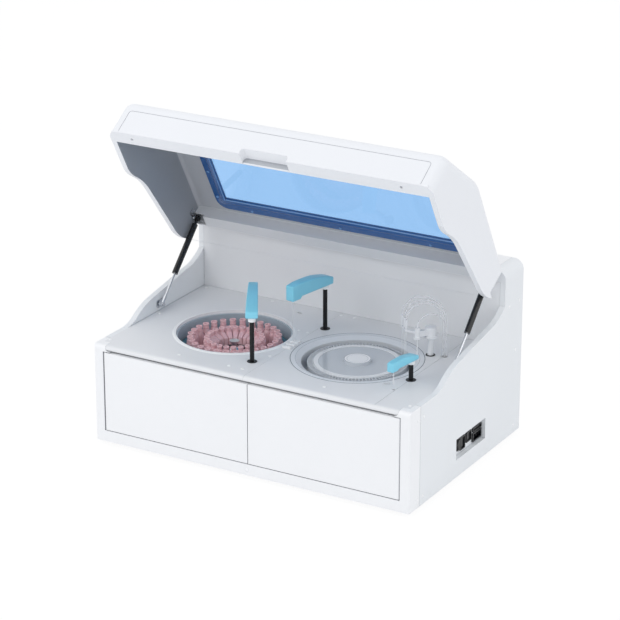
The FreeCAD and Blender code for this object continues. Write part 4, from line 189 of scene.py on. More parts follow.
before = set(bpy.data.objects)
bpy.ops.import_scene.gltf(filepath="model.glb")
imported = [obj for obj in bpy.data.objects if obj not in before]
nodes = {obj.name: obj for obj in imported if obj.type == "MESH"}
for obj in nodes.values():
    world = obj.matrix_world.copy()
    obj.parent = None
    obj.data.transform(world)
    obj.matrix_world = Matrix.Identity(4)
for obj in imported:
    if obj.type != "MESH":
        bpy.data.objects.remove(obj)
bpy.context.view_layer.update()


# Meshes from arrays

def faces_of_grid(rows, columns, wrap_rows=False):
    """Quads between neighbouring points of a rows x columns grid. Its columns close into a ring."""
    i = np.arange(rows if wrap_rows else rows - 1)
    a, b = np.meshgrid(i, np.arange(columns), indexing="ij")
    a2, b2 = (a + 1) % rows, (b + 1) % columns
    quads = [a * columns + b, a * columns + b2, a2 * columns + b2, a2 * columns + b]
    return np.stack(quads, -1).reshape(-1, 4)


def piece(name, parts, material, body, replaced=(), crease=35.0):
    """One object from several (points, quads) parts, merged, with its faces turned outwards."""
    points, quads, start = [], [], 0
    for p, q in parts:
        points.append(np.asarray(p, float).reshape(-1, 3))
        quads.append(q + start)
        start += len(points[-1])
    mesh = bpy.data.meshes.new(name)
    mesh.from_pydata((np.concatenate(points) * MM).tolist(), [], np.concatenate(quads).tolist())
    work = bmesh.new()
    work.from_mesh(mesh)
    bmesh.ops.remove_doubles(work, verts=work.verts, dist=MERGE)
    bmesh.ops.dissolve_degenerate(work, edges=work.edges, dist=MERGE)
    bmesh.ops.recalc_face_normals(work, faces=work.faces)
    work.to_mesh(mesh)
    work.free()
    mesh.polygons.foreach_set("use_smooth", [True] * len(mesh.polygons))
    mesh.set_sharp_from_angle(angle=math.radians(crease))
    made = bpy.data.objects.new(name, mesh)
    bpy.context.scene.collection.objects.link(made)
    mesh.materials.append(material)
    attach(made, body)
    if replaced:
        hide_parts(*replaced)
    return made


def raised(section, level):
    """A section whose heights are counted from a level, at that level."""
    return [(out, level + up) for out, up in section]


def lathe(profile, x=0.0, y=0.0, sides=32):
    """Surface of revolution: each (radius, height) of the profile goes round the upright axis at x, y."""
    r, z = np.array(profile, float).T
    t = np.linspace(0, 2 * np.pi, sides, endpoint=False)
    level = np.repeat(z[:, None], sides, 1)
    p = np.stack([x + r[:, None] * np.cos(t), y + r[:, None] * np.sin(t), level], -1)
    return p.reshape(-1, 3), faces_of_grid(len(r), sides)


def loft(sections):
    """Skin over closed sections of equal length; the ends shrink to their middle points."""
    s = np.asarray(sections, float)
    first = np.repeat(s[:1].mean(1, keepdims=True), s.shape[1], 1)
    last = np.repeat(s[-1:].mean(1, keepdims=True), s.shape[1], 1)
    s = np.concatenate([first, s, last])
    return s.reshape(-1, 3), faces_of_grid(s.shape[0], s.shape[1])


def turned(points, angle):
    """Points turned about the upright line through the origin by an angle in degrees."""
    a = math.radians(angle)
    p = np.asarray(points, float).reshape(-1, 3)
    m = np.array([[math.cos(a), -math.sin(a), 0], [math.sin(a), math.cos(a), 0], [0, 0, 1]])
    return p @ m.T


def lid_opened(points):
    """Points drawn on the shut lid, swung up about the hinge line."""
    a = math.radians(-LID_OPEN)
    p = np.asarray(points, float).reshape(-1, 3)
    y, z = p[:, 1] - HINGE_Y, p[:, 2] - HINGE_Z
    return np.stack([p[:, 0], HINGE_Y + y * math.cos(a) - z * math.sin(a),
                     HINGE_Z + y * math.sin(a) + z * math.cos(a)], -1)


def rounded_path(x0, x1, y0, y1, radius, steps=8):
    """Points round a rectangle whose corners are quarter circles."""
    out = []
    for cx, cy, start in ((x1 - radius, y1 - radius, 0), (x0 + radius, y1 - radius, 90),
                          (x0 + radius, y0 + radius, 180), (x1 - radius, y0 + radius, 270)):
        t = np.radians(start + np.linspace(0, 90, steps + 1))
        out.append(np.stack([cx + radius * np.cos(t), cy + radius * np.sin(t)], -1))
    return np.concatenate(out)


def swept_ring(path, profile, widen=(1.0, 1.0)):
    """A profile of (outward, height) points carried round a closed flat path along its outward normals;
    widen scales the outward part along X and along Y."""
    path = np.asarray(path, float)
    along = np.roll(path, -1, 0) - np.roll(path, 1, 0)
    normal = np.stack([along[:, 1], -along[:, 0]], -1)
    normal /= np.linalg.norm(normal, axis=1, keepdims=True)
    o, h = np.array(profile, float).T
    xy = path[:, None] + normal[:, None] * np.array(widen) * o[:, None]
    z = np.broadcast_to(h[None, :, None], xy.shape[:2] + (1,))
    p = np.concatenate([xy, z], -1)
    return p.reshape(-1, 3), faces_of_grid(len(path), len(o), wrap_rows=True)


# Shader nodes and their wires

VECTOR = "NodeSocketVector"
COLOUR = "NodeSocketColor"
NUMBER = "NodeSocketFloat"
SURFACE = [("Color", COLOUR), ("Height", NUMBER), ("Roughness", NUMBER)]


def node_group(name, inputs, outputs):
    """A new group with named sockets, and the nodes that stand for its inputs and its outputs."""
    group = bpy.data.node_groups.new(name, "ShaderNodeTree")
    for label, kind, value in inputs:
        socket = group.interface.new_socket(label, in_out="INPUT", socket_type=kind)
        if value is not None:
            socket.default_value = value
    for label, kind in outputs:
        group.interface.new_socket(label, in_out="OUTPUT", socket_type=kind)
    return group, group.nodes.new("NodeGroupInput"), group.nodes.new("NodeGroupOutput")


def wire(tree, source, target):
    tree.links.new(source, target)


def node(tree, kind, **values):
    """A new node with values for its inputs."""
    made = tree.nodes.new(kind)
    for key, value in values.items():
        made.inputs[key].default_value = value
    return made


def placed(tree, group):
    """A group put into a tree."""
    made = tree.nodes.new("ShaderNodeGroup")
    made.node_tree = group
    return made


def vector_node(tree, operation):
    made = tree.nodes.new("ShaderNodeVectorMath")
    made.operation = operation
    return made


def math_node(tree, operation, a, b=None, c=None, clamp=False):
    made = tree.nodes.new("ShaderNodeMath")
    made.operation = operation
    made.use_clamp = clamp
    for i, value in enumerate((a, b, c)):
        if value is None:
            continue
        if isinstance(value, bpy.types.NodeSocket):
            tree.links.new(value, made.inputs[i])
        else:
            made.inputs[i].default_value = value
    return made.outputs[0]


def mix_colour(tree, factor, a, b):
    made = tree.nodes.new("ShaderNodeMix")
    made.data_type = "RGBA"
    for socket, value in ((made.inputs["Factor"], factor), (made.inputs[6], a), (made.inputs[7], b)):
        if isinstance(value, bpy.types.NodeSocket):
            tree.links.new(value, socket)
        else:
            socket.default_value = value
    return made.outputs[2]


# Effects shared by the materials

def toned(g, i, o, source):
    """Gives the group its colour, made lighter and darker by Tone as the source swings about its middle."""
    shift = math_node(g, "MULTIPLY", math_node(g, "SUBTRACT", source, 0.5), i.outputs["Tone"])
    hsv = g.nodes.new("ShaderNodeHueSaturation")
    wire(g, i.outputs["Color"], hsv.inputs["Color"])
    wire(g, math_node(g, "ADD", shift, 1.0), hsv.inputs["Value"])
    wire(g, hsv.outputs["Color"], o.inputs["Color"])
    return shift


def paint_group():
    """Powder coat: a fine orange-peel height, and a faint wide change of tone."""
    inputs = [("Vector", VECTOR, None), ("Color", COLOUR, None), ("Peel Scale", NUMBER, 900.0),
              ("Tone", NUMBER, 0.03), ("Rough", NUMBER, 0.4)]
    g, i, o = node_group("powder_coat", inputs, SURFACE)
    peel = node(g, "ShaderNodeTexNoise", Detail=2.0)
    wire(g, i.outputs["Vector"], peel.inputs["Vector"])
    wire(g, i.outputs["Peel Scale"], peel.inputs["Scale"])
    wide = node(g, "ShaderNodeTexNoise", Scale=5.0, Detail=2.0)
    wire(g, i.outputs["Vector"], wide.inputs["Vector"])
    shift = toned(g, i, o, wide.outputs["Fac"])
    wire(g, peel.outputs["Fac"], o.inputs["Height"])
    rough = math_node(g, "ADD", i.outputs["Rough"], math_node(g, "MULTIPLY", shift, 2.0))
    wire(g, rough, o.inputs["Roughness"])
    return g


def grain_group():
    """Moulded plastic: a fine leathery cell grain over a soft noise."""
    inputs = [("Vector", VECTOR, None), ("Color", COLOUR, None), ("Grain Scale", NUMBER, 1500.0),
              ("Tone", NUMBER, 0.05), ("Rough", NUMBER, 0.45)]
    g, i, o = node_group("moulded_grain", inputs, SURFACE)
    cell = node(g, "ShaderNodeTexVoronoi")
    wire(g, i.outputs["Vector"], cell.inputs["Vector"])
    wire(g, i.outputs["Grain Scale"], cell.inputs["Scale"])
    soft = node(g, "ShaderNodeTexNoise", Scale=40.0, Detail=3.0)
    wire(g, i.outputs["Vector"], soft.inputs["Vector"])
    shift = toned(g, i, o, soft.outputs["Fac"])
    softened = math_node(g, "MULTIPLY", soft.outputs["Fac"], 0.5)
    wire(g, math_node(g, "ADD", cell.outputs["Distance"], softened), o.inputs["Height"])
    wire(g, math_node(g, "ADD", i.outputs["Rough"], shift), o.inputs["Roughness"])
    return g


def brushed_group():
    """Worked metal: fine lines drawn out along one axis, in tone, roughness and height."""
    inputs = [("Vector", VECTOR, None), ("Color", COLOUR, None), ("Stretch", VECTOR, (4.0, 900.0, 900.0)),
              ("Tone", NUMBER, 0.12), ("Rough", NUMBER, 0.3)]
    g, i, o = node_group("brushed_lines", inputs, SURFACE)
    scale = vector_node(g, "MULTIPLY")
    wire(g, i.outputs["Vector"], scale.inputs[0])
    wire(g, i.outputs["Stretch"], scale.inputs[1])
    lines = node(g, "ShaderNodeTexNoise", Scale=1.0, Detail=3.0)
    wire(g, scale.outputs[0], lines.inputs["Vector"])
    shift = toned(g, i, o, lines.outputs["Fac"])
    wire(g, lines.outputs["Fac"], o.inputs["Height"])
    wire(g, math_node(g, "ADD", i.outputs["Rough"], shift), o.inputs["Roughness"])
    return g


def band_group():
    """Mask is 1 where the distance from an upright axis lies between two radii."""
    inputs = [("Vector", VECTOR, None), ("Axis", VECTOR, (0, 0, 0)), ("Inner", NUMBER, 0.0),
              ("Outer", NUMBER, 1.0)]
    g, i, o = node_group("radius_band", inputs, [("Mask", NUMBER)])
    away = vector_node(g, "SUBTRACT")
    wire(g, i.outputs["Vector"], away.inputs[0])
    wire(g, i.outputs["Axis"], away.inputs[1])
    flat = vector_node(g, "MULTIPLY")
    flat.inputs[1].default_value = (1, 1, 0)
    wire(g, away.outputs[0], flat.inputs[0])
    far = vector_node(g, "LENGTH")
    wire(g, flat.outputs[0], far.inputs[0])
    past = math_node(g, "GREATER_THAN", far.outputs["Value"], i.outputs["Inner"])
    within = math_node(g, "LESS_THAN", far.outputs["Value"], i.outputs["Outer"])
    wire(g, math_node(g, "MULTIPLY", past, within), o.inputs["Mask"])
    return g


def lining_group():
    """Inside is 1 past the rim, within the side walls and under the roof skin; Beam is 1 on the hinge beam
    and Shaded Side on the inner faces of the side walls, which are painted darker as shade. All are read
    where the point is on the shut lid."""
    outputs = [("Inside", NUMBER), ("Beam", NUMBER), ("Side", NUMBER)]
    g, i, o = node_group("lid_lining", [("Vector", VECTOR, None)], outputs)
    shut = g.nodes.new("ShaderNodeVectorRotate")
    shut.rotation_type = "X_AXIS"
    shut.inputs["Center"].default_value = (0, HINGE_Y * MM, HINGE_Z * MM)
    shut.inputs["Angle"].default_value = math.radians(LID_OPEN)
    wire(g, i.outputs["Vector"], shut.inputs["Vector"])
    xyz = g.nodes.new("ShaderNodeSeparateXYZ")
    wire(g, shut.outputs["Vector"], xyz.inputs[0])
    x, y, z = xyz.outputs
    aside = math_node(g, "ABSOLUTE", x)
    wall = HALF_WIDTH - LID_SIDE_WALL
    half = LID_SKIN / 2
    rise = (SLOPE_HEIGHT - NOSE_HEIGHT) / (SLOPE_END + LID_LEAN)
    from_nose = math_node(g, "SUBTRACT", y, (FRONT - LID_LEAN) * MM)
    slope = math_node(g, "MULTIPLY_ADD", from_nose, rise, (NOSE_HEIGHT - SLOPE_SKIN) * MM)
    past_rim = math_node(g, "GREATER_THAN", y, (FRONT + LID_RIM + SIDE_LINING) * MM)
    over_rim = math_node(g, "GREATER_THAN", z, (LID_LOW + LID_SKIN - EASE / 2) * MM)
    limits = [
        math_node(g, "LESS_THAN", aside, (wall + EASE) * MM),
        math_node(g, "GREATER_THAN", y, (FRONT + LINING_START) * MM),
        math_node(g, "LESS_THAN", y, (WALL_Y - LID_REAR_GAP - half) * MM),
        math_node(g, "LESS_THAN", z, (HOOD - half) * MM),
        math_node(g, "LESS_THAN", z, slope),
        math_node(g, "MAXIMUM", past_rim, over_rim),
    ]
    mask = limits[0]
    for limit in limits[1:]:
        mask = math_node(g, "MULTIPLY", mask, limit)
    wire(g, mask, o.inputs["Inside"])
    behind = math_node(g, "GREATER_THAN", y, BEAM_FRONT * MM)
    high = math_node(g, "GREATER_THAN", z, BEAM_LOW * MM)
    wire(g, math_node(g, "MULTIPLY", behind, high), o.inputs["Beam"])
    wire(g, math_node(g, "GREATER_THAN", aside, (wall - SIDE_LINING) * MM), o.inputs["Side"])
    return g


def tube_group():
    """Mask is 1 on the arched tubes: above the nozzles, or round the upright line of the tube port."""
    g, i, o = node_group("tube_mask", [("Vector", VECTOR, None)], [("Mask", NUMBER)])
    near = placed(g, BAND)
    near.inputs["Axis"].default_value = (TUBE_PORT[0] * MM, TUBE_PORT[1] * MM, 0)
    near.inputs["Outer"].default_value = TUBE_PORT_REACH * MM
    wire(g, i.outputs["Vector"], near.inputs["Vector"])
    xyz = g.nodes.new("ShaderNodeSeparateXYZ")
    wire(g, i.outputs["Vector"], xyz.inputs[0])
    above = math_node(g, "GREATER_THAN", xyz.outputs["Z"], (TUBE_START + EASE) * MM)
    wire(g, math_node(g, "MAXIMUM", above, near.outputs["Mask"]), o.inputs["Mask"])
    return g


PAINT = paint_group()
GRAIN = grain_group()
BRUSHED = brushed_group()
BAND = band_group()


# Materials

def colour(*rgb):
    """A screen colour, 0 to 255 a channel, as the linear colour a shader wants."""
    c = np.array(rgb, float) / 255
    linear = np.where(c <= 0.04045, c / 12.92, ((c + 0.055) / 1.055) ** 2.4)
    return (*linear.tolist(), 1.0)


def seam_shade(tree, tone, reach):
    """The tone with painted shade: turned grey within a reach in millimetres of the seams and corners that
    ambient occlusion finds.
    """
    closed = tree.nodes.new("ShaderNodeAmbientOcclusion")
    closed.samples = SEAM_SAMPLES
    closed.inputs["Distance"].default_value = reach * MM
    hidden = math_node(tree, "SUBTRACT", 1.0, closed.outputs["AO"])
    shade = math_node(tree, "MULTIPLY", hidden, SEAM_SHADE_STRENGTH, clamp=True)
    return mix_colour(tree, shade, tone, colour(*SEAM_SHADE_GREY))


def finish(name, group, rgb, rough, bump, metallic=0.0, coat=0.0, coat_rough=0.1, group_values=(),
           transmission=0.0, ior=1.45, painted_shade_reach=0.0):
    """A material on Object coordinates whose effect group drives colour, roughness and bump. In millimetres,
    bump is the height of its relief, and painted_shade_reach is the reach within which seams and corners are
    painted grey as shade."""
    material = bpy.data.materials.new(name)
    material.use_nodes = True
    tree = material.node_tree
    shader = tree.nodes["Principled BSDF"]
    place = tree.nodes.new("ShaderNodeTexCoord")
    effect = placed(tree, group)
    effect.inputs["Color"].default_value = colour(*rgb)
    effect.inputs["Rough"].default_value = rough
    for key, value in group_values:
        effect.inputs[key].default_value = value
    wire(tree, place.outputs["Object"], effect.inputs["Vector"])
    tone = effect.outputs["Color"]
    # Painted shade: seams and corners go grey where ambient occlusion finds them
    if painted_shade_reach:
        tone = seam_shade(tree, tone, painted_shade_reach)
    wire(tree, tone, shader.inputs["Base Color"])
    wire(tree, effect.outputs["Roughness"], shader.inputs["Roughness"])
    relief = node(tree, "ShaderNodeBump", Strength=0.6, Distance=bump * MM)
    wire(tree, effect.outputs["Height"], relief.inputs["Height"])
    wire(tree, relief.outputs["Normal"], shader.inputs["Normal"])
    shader.inputs["Metallic"].default_value = metallic
    shader.inputs["Coat Weight"].default_value = coat
    shader.inputs["Coat Roughness"].default_value = coat_rough
    shader.inputs["IOR"].default_value = ior
    shader.inputs["Transmission Weight"].default_value = transmission
    return material


def opened_up(material):
    """A material's tree, its shader, the coordinates that it reads, and the socket that colours it."""
    tree = material.node_tree
    shader = tree.nodes["Principled BSDF"]
    place = next(n for n in tree.nodes if n.type == "TEX_COORD").outputs["Object"]
    return tree, shader, place, shader.inputs["Base Color"].links[0].from_socket


def banded(material, axis, bands):
    """The same material with rings of other colours: (inner radius, outer radius, colour) round an axis."""
    tree, shader, place, tone = opened_up(material)
    for inner, outer, rgb in bands:
        ring = placed(tree, BAND)
        ring.inputs["Axis"].default_value = (axis[0] * MM, axis[1] * MM, 0)
        ring.inputs["Inner"].default_value = inner * MM
        ring.inputs["Outer"].default_value = outer * MM
        wire(tree, place, ring.inputs["Vector"])
        tone = mix_colour(tree, ring.outputs["Mask"], tone, colour(*rgb))
    wire(tree, tone, shader.inputs["Base Color"])
    return material


def lid_coat():
    """White outside, grey lining inside: the shut lid's own skin line splits the two. The lining's inner
    side walls take a darker grey as painted shade, and seams and corners take painted shade too.
    """
    material = finish("lid_coat_and_lining", PAINT, (242, 243, 246), 0.4, 0.02, painted_shade_reach=4.0)
    tree, shader, place, outer = opened_up(material)
    lining = placed(tree, lining_group())
    wire(tree, place, lining.inputs["Vector"])
    inner = mix_colour(tree, lining.outputs["Beam"], colour(190, 193, 198), colour(226, 228, 231))
    # Painted shade: the inner side walls get a darker copy of the lining grey
    inner = mix_colour(tree, lining.outputs["Side"], inner, colour(158, 163, 170))
    both = mix_colour(tree, lining.outputs["Inside"], outer, inner)
    wire(tree, both, shader.inputs["Base Color"])
    return material


def wash_coat():
    """White moulding whose tubes let the light through."""
    material = finish("wash_head_plastic", GRAIN, (236, 238, 241), 0.3, 0.004)
    tree, shader, place, _ = opened_up(material)
    tubes = placed(tree, tube_group())
    wire(tree, place, tubes.inputs["Vector"])
    solid = math_node(tree, "MULTIPLY_ADD", tubes.outputs["Mask"], -TUBE_CLEARNESS, 1.0)
    wire(tree, solid, shader.inputs["Alpha"])
    return material


# Coated sheet: name, effect, colour, roughness, relief, and where given the reach of painted shade in seams
# and corners
white_casing = finish("white_powder_coat", PAINT, (250, 250, 251), 0.42, 0.02, painted_shade_reach=4.0)
side_casing = finish("pale_side_coat", PAINT, (240, 242, 244), 0.45, 0.02, painted_shade_reach=4.0)
deck_paint = finish("grey_deck_coat", PAINT, (234, 235, 237), 0.35, 0.02, painted_shade_reach=4.0)
wall_paint = finish("grey_wall_coat", PAINT, (236, 237, 239), 0.5, 0.03)
bath_paint = finish("bath_coat", PAINT, (222, 225, 229), 0.3, 0.02)
tub_paint = finish("tub_coat", PAINT, (176, 190, 200), 0.3, 0.02)
# The bezel's dark outer ring is painted shadow where it meets the deck
bezel_paint = banded(finish("bezel_coat", PAINT, (228, 231, 235), 0.35, 0.02), BATH, BEZEL_EDGE_SHADOW_AND_RING)
lid_white = lid_coat()
strut_black = finish("black_strut_coat", PAINT, (20, 22, 25), 0.22, 0.01, coat=0.3)
motor_black = finish("motor_housing", PAINT, (34, 35, 38), 0.4, 0.03)

# Plastics and rubber; where a last reach is given, seams and corners within it take painted shade
rim_plastic = finish("white_rim_plastic", GRAIN, (246, 247, 248), 0.3, 0.005, painted_shade_reach=3.0)
cap_plastic = finish("white_cap_plastic", GRAIN, (252, 252, 253), 0.35, 0.005, painted_shade_reach=2.0)
disk_white = finish("white_disk_plastic", GRAIN, (242, 243, 245), 0.3, 0.004)
wash_white = wash_coat()
arm_blue = finish("light_blue_arm_plastic", GRAIN, (134, 212, 236), 0.38, 0.01, coat=0.15)
bottle_rose = finish("rose_bottle_plastic", GRAIN, (232, 192, 198), 0.4, 0.01, group_values=[("Tone", 0.03)])
rack_teal = banded(finish("teal_rack_plastic", GRAIN, (84, 132, 148), 0.4, 0.01), WELL, RACK_BANDS)
black_plastic = finish("black_plastic", GRAIN, (24, 26, 29), 0.4, 0.01)
socket_black = finish("socket_plastic", GRAIN, (16, 17, 22), 0.3, 0.005)
rubber_black = finish("black_rubber", GRAIN, (22, 22, 23), 0.75, 0.02)
edge_blue = finish("bright_frame_edge", GRAIN, (112, 158, 212), 0.25, 0.004, coat=0.3)
frame_blue = finish("deep_blue_frame_plastic", GRAIN, (38, 92, 156), 0.25, 0.006, coat=0.4, painted_shade_reach=3.0)
disk_grey = finish("grey_disk_plastic", GRAIN, (203, 208, 214), 0.16, 0.003, coat=0.5, coat_rough=0.05)
disk_grey = banded(disk_grey, BATH, ROTOR_BANDS)
cuvette_clear = finish("clear_cuvette_plastic", GRAIN, (226, 230, 235), 0.1, 0.002, transmission=0.15,
                       ior=1.5)
pane_blue = finish("blue_acrylic_pane", PAINT, (156, 201, 247), 0.03, 0.002, transmission=1.0, ior=1.3,
                   group_values=[("Peel Scale", 6.0), ("Tone", 0.01)])
board_green = finish("coated_board", GRAIN, (20, 78, 48), 0.35, 0.02)

# Metals: Stretch draws their fine lines out along the axis where it is smallest
shaft_black = finish("black_anodised_shaft", BRUSHED, (26, 27, 30), 0.28, 0.004, metallic=0.4,
                     group_values=[("Stretch", (900.0, 900.0, 6.0))])
steel = finish("ground_steel", BRUSHED, (196, 199, 204), 0.24, 0.004, metallic=1.0,
               group_values=[("Stretch", (900.0, 900.0, 20.0))])
chrome = finish("polished_rod", BRUSHED, (222, 225, 230), 0.12, 0.002, metallic=1.0,
                group_values=[("Tone", 0.04)])
knob_metal = finish("turned_knob_metal", BRUSHED, (206, 209, 213), 0.2, 0.006, metallic=1.0,
                    group_values=[("Stretch", (30.0, 30.0, 1400.0))])
alloy = finish("plain_alloy_sheet", BRUSHED, (186, 189, 193), 0.4, 0.006, metallic=0.9)
probe_steel = finish("probe_steel", BRUSHED, (226, 228, 231), 0.3, 0.002, metallic=0.4)

NODE_FINISH = {
    "base_tray": alloy, "feet": rubber_black, "chassis_frame": alloy, "front_frame": white_casing,
    "left_side_panel": side_casing, "right_side_panel": side_casing, "hood_top": white_casing,
    "rear_wall": wall_paint, "rear_panel": side_casing, "deck_plate_left": deck_paint,
    "deck_plate_right": deck_paint, "well_rim": rim_plastic, "reagent_tub": tub_paint,
    "reaction_bezel": bezel_paint, "reaction_bath": bath_paint, "wash_wells": disk_white,
    "arm_base_rings": black_plastic, "screw_caps": cap_plastic, "drive_frames": alloy,
    "drive_motors": motor_black, "connectors": socket_black, "syringe_barrels": alloy,
    "power_supply": alloy, "control_board": board_green, "cooling_unit": alloy, "fluid_pumps": motor_black,
    "fan_frame": black_plastic, "strut_lower_brackets": steel, "hinge_pins": steel, "lid_shell": lid_white,
    "lid_window": pane_blue, "lid_window_frame": frame_blue, "strut_upper_brackets": steel,
    "left_strut_rod": chrome, "right_strut_rod": chrome, "left_strut_cylinder": strut_black,
    "right_strut_cylinder": strut_black, "left_door": white_casing, "right_door": white_casing,
    "reagent_rack": rack_teal, "reagent_bottles": bottle_rose, "rack_knob": knob_metal,
    "reaction_rotor": disk_grey, "cuvette_ring": cuvette_clear, "sample_carriage": alloy,
    "sample_shaft": shaft_black, "sample_arm": arm_blue, "sample_probe": probe_steel,
    "reagent_carriage": alloy, "reagent_shaft": shaft_black, "reagent_arm": arm_blue,
    "reagent_probe": probe_steel, "mixer_carriage": alloy, "mixer_shaft": shaft_black, "mixer_arm": arm_blue,
    "mixer_paddle": probe_steel, "wash_head": wash_white, "power_switch": black_plastic,
    "fan_rotor": black_plastic, "syringe_plungers": steel,
}
for label, made in nodes.items():
    made.data.materials.clear()
    made.data.materials.append(NODE_FINISH[label])


# Arms

def arm_heights(share):
    """Underside and top of a cover, as shares of its height, at shares of its length."""
    low = np.interp(share, [0.0, 0.767, 0.81, 1.0], [0.138, 0.148, 0.0, 0.0])
    top = np.interp(share, [0.0, 0.03, 0.12, 0.22, 0.31, 0.40, 0.50, 0.60, 0.72, 0.847, 1.0],
                    [0.57, 0.60, 0.71, 0.80, 0.87, 0.925, 0.963, 0.985, 0.998, 1.0, 0.937])
    return low, top


def arm_cover(x, y, angle, front, low, height, width, tip):
    """Rounded box lofted along the arm: each section is a rectangle with round corners, and both ends
    shrink along a quarter circle, so that every edge is soft."""
    length = front + ARM_REAR
    edge = ARM_EDGE / length
    bend = np.linspace(0, np.pi / 2, ARM_BEND)
    ends = ARM_EDGE * (1 - np.cos(bend[:-2])) / length
    s = np.concatenate([ends, np.linspace(edge, 1 - edge, ARM_SECTIONS), 1 - ends[::-1]])
    near_end = np.clip(1 - np.minimum(s, 1 - s) * length / ARM_EDGE, 0, 1)
    inset = ARM_EDGE * (1 - np.sqrt(1 - near_end ** 2))
    v0, v1 = arm_heights(s)
    z0 = low + v0 * height + inset
    z1 = low + v1 * height - inset
    w = (width + (tip - width) * s) / 2 - inset
    r = np.maximum(ARM_EDGE - inset * 0.8, ARM_LEAST_EDGE)
    t = np.concatenate([np.radians(q + np.linspace(0, 90, ARM_BEND)) for q in (0, 90, 180, 270)])
    cx = np.repeat([1, -1, -1, 1], ARM_BEND)
    cz = np.repeat([1, 1, -1, -1], ARM_BEND)
    px = -ARM_REAR + s * length
    py = cx * (w - r)[:, None] + r[:, None] * np.cos(t)
    mid = ((z0 + z1) / 2)[:, None]
    half = ((z1 - z0) / 2 - r)[:, None]
    pz = mid + cz * half + r[:, None] * np.sin(t)
    points, faces = loft(np.stack([np.broadcast_to(px[:, None], py.shape), py, pz], -1))
    return turned(points, angle) + [x, y, 0], faces


def arm_collar(arm):
    """White column collar with a fine groove."""
    foot = raised(COLLAR_FOOT, arm["low"] - COLLAR_DROP)
    top = raised(COLLAR_TOP, arm["low"] + COLLAR_SHARE * arm["height"] + COLLAR_LAP)
    return lathe(foot + top, arm["x"], arm["y"], 40)


def probe_holder(arm, reach):
    """Small stepped holder that carries the probe under the arm's tip."""
    a = math.radians(arm["angle"])
    px = arm["x"] + reach * math.cos(a)
    py = arm["y"] + reach * math.sin(a)
    return lathe(raised(HOLDER, arm["low"]), px, py, 24)


for label, arm in (("sample", SAMPLE), ("reagent", REAGENT), ("mixer", MIXER)):
    body = label + "_swing"
    piece(label + "_arm_cover", [arm_cover(**arm)], arm_blue, body, (label + "_arm",), 50)
    piece(label + "_arm_collar", [arm_collar(arm)], rim_plastic, body)
    if label in PROBE_REACHES:
        holder = probe_holder(arm, PROBE_REACHES[label])
        piece(label + "_probe_holder", [holder], rim_plastic, body)


# Reagent bottles

def outer_bottle():
    """Round bottle: cylinder, sloped shoulder, neck with a bead, a lip round an open mouth, and a hollow
    inside."""
    foot, shoulder, neck, top = BOTTLE_FOOT, OUTER_SHOULDER, OUTER_NECK, OUTER_TOP
    wide, throat, bead, lip, bore = OUTER_RADIUS, OUTER_THROAT, OUTER_BEAD, OUTER_LIP, OUTER_BORE
    inside = wide - BOTTLE_WALL
    profile = [
        (0, foot), (wide - FOOT_EDGE, foot), (wide, foot + FOOT_EDGE),
        (wide, shoulder - 1), (wide - 0.5, shoulder), (throat + 0.5, neck - 0.6), (throat, neck),
        (throat, neck + 1.6), (bead, neck + 2.2), (bead, neck + 4.2), (throat, neck + 4.8),
        (throat, top - 4), (lip, top - 3.4), (lip, top - 0.6), (lip - 0.5, top),
        (bore + 0.4, top), (bore, top - 0.6), (bore, neck), (inside, shoulder - BOTTLE_WALL),
        (inside, foot + BOTTLE_WALL), (0, foot + BOTTLE_WALL),
    ]
    return lathe(profile, OUTER_BOTTLES[1], 0.0, 24)


def inner_bottle():
    """Wedge bottle: a four-sided body with soft edges whose top falls towards the hub, a round neck, and a
    bore. Each section of the body is the same loop, drawn in towards its middle."""
    count, ring, _ = INNER_BOTTLES
    half = math.tan(math.radians(180 / count))
    x0, x1 = INNER_NEAR + INNER_SHY, INNER_FAR - INNER_SHY
    w0 = INNER_NEAR * half - INNER_GAP / 2
    w1 = INNER_FAR * half - INNER_GAP / 2
    edge = INNER_CORNER
    middle = (x0 + x1) / 2
    quarters = [np.radians(start + np.linspace(0, 90, 4)) for start in (0, 90, 180, 270)]
    loop = []
    for (cx, cy), t in zip(((x1, w1), (x0, w0), (x0, -w0), (x1, -w1)), quarters):
        loop.append(np.stack([cx - math.copysign(edge, cx - middle) + edge * np.cos(t),
                              cy - math.copysign(edge, cy) + edge * np.sin(t)], -1))
    loop = np.concatenate(loop)
    slope_top = ring - INNER_LIP
    top = INNER_NECK - INNER_SLOPE * np.clip((slope_top - loop[:, 0]) / (slope_top - x0), 0, 1)
    foot = np.full(len(loop), BOTTLE_FOOT)
    edges = [(inset, foot + up) for inset, up in INNER_FOOT_EDGES]
    edges += [(inset, top + up) for inset, up in INNER_TOP_EDGES]
    rings = []
    for inset, level in edges:
        xy = [middle, 0] + (loop - [middle, 0]) * (1 - inset / INNER_HALF)
        rings.append(np.concatenate([xy, level[:, None]], 1))
    around = np.concatenate(quarters)
    n, t, bore, lip, throat = INNER_NECK, INNER_TOP, INNER_BORE, INNER_LIP, INNER_THROAT
    for r, z in ((bore + 1, n), (bore, n - 0.4), (bore, BOTTLE_FOOT + BOTTLE_WALL)):
        rings.append(np.stack([ring + r * np.cos(around), r * np.sin(around), np.full(len(around), z)], -1))
    neck = lathe([(throat, n - 2), (throat, t - 3.6), (lip, t - 3.2), (lip, t - 0.6), (lip - 0.5, t),
                  (bore + 0.5, t), (bore, t - 0.6), (bore, n - 2), (throat, n - 2)], ring, 0.0, 20)
    return loft(rings), neck


def ring_of(parts, count, phase):
    """The same parts turned about the well's axis, one for each place."""
    return [(turned(p, phase + k * 360 / count) + [*WELL, 0], q) for k in range(count) for p, q in parts]


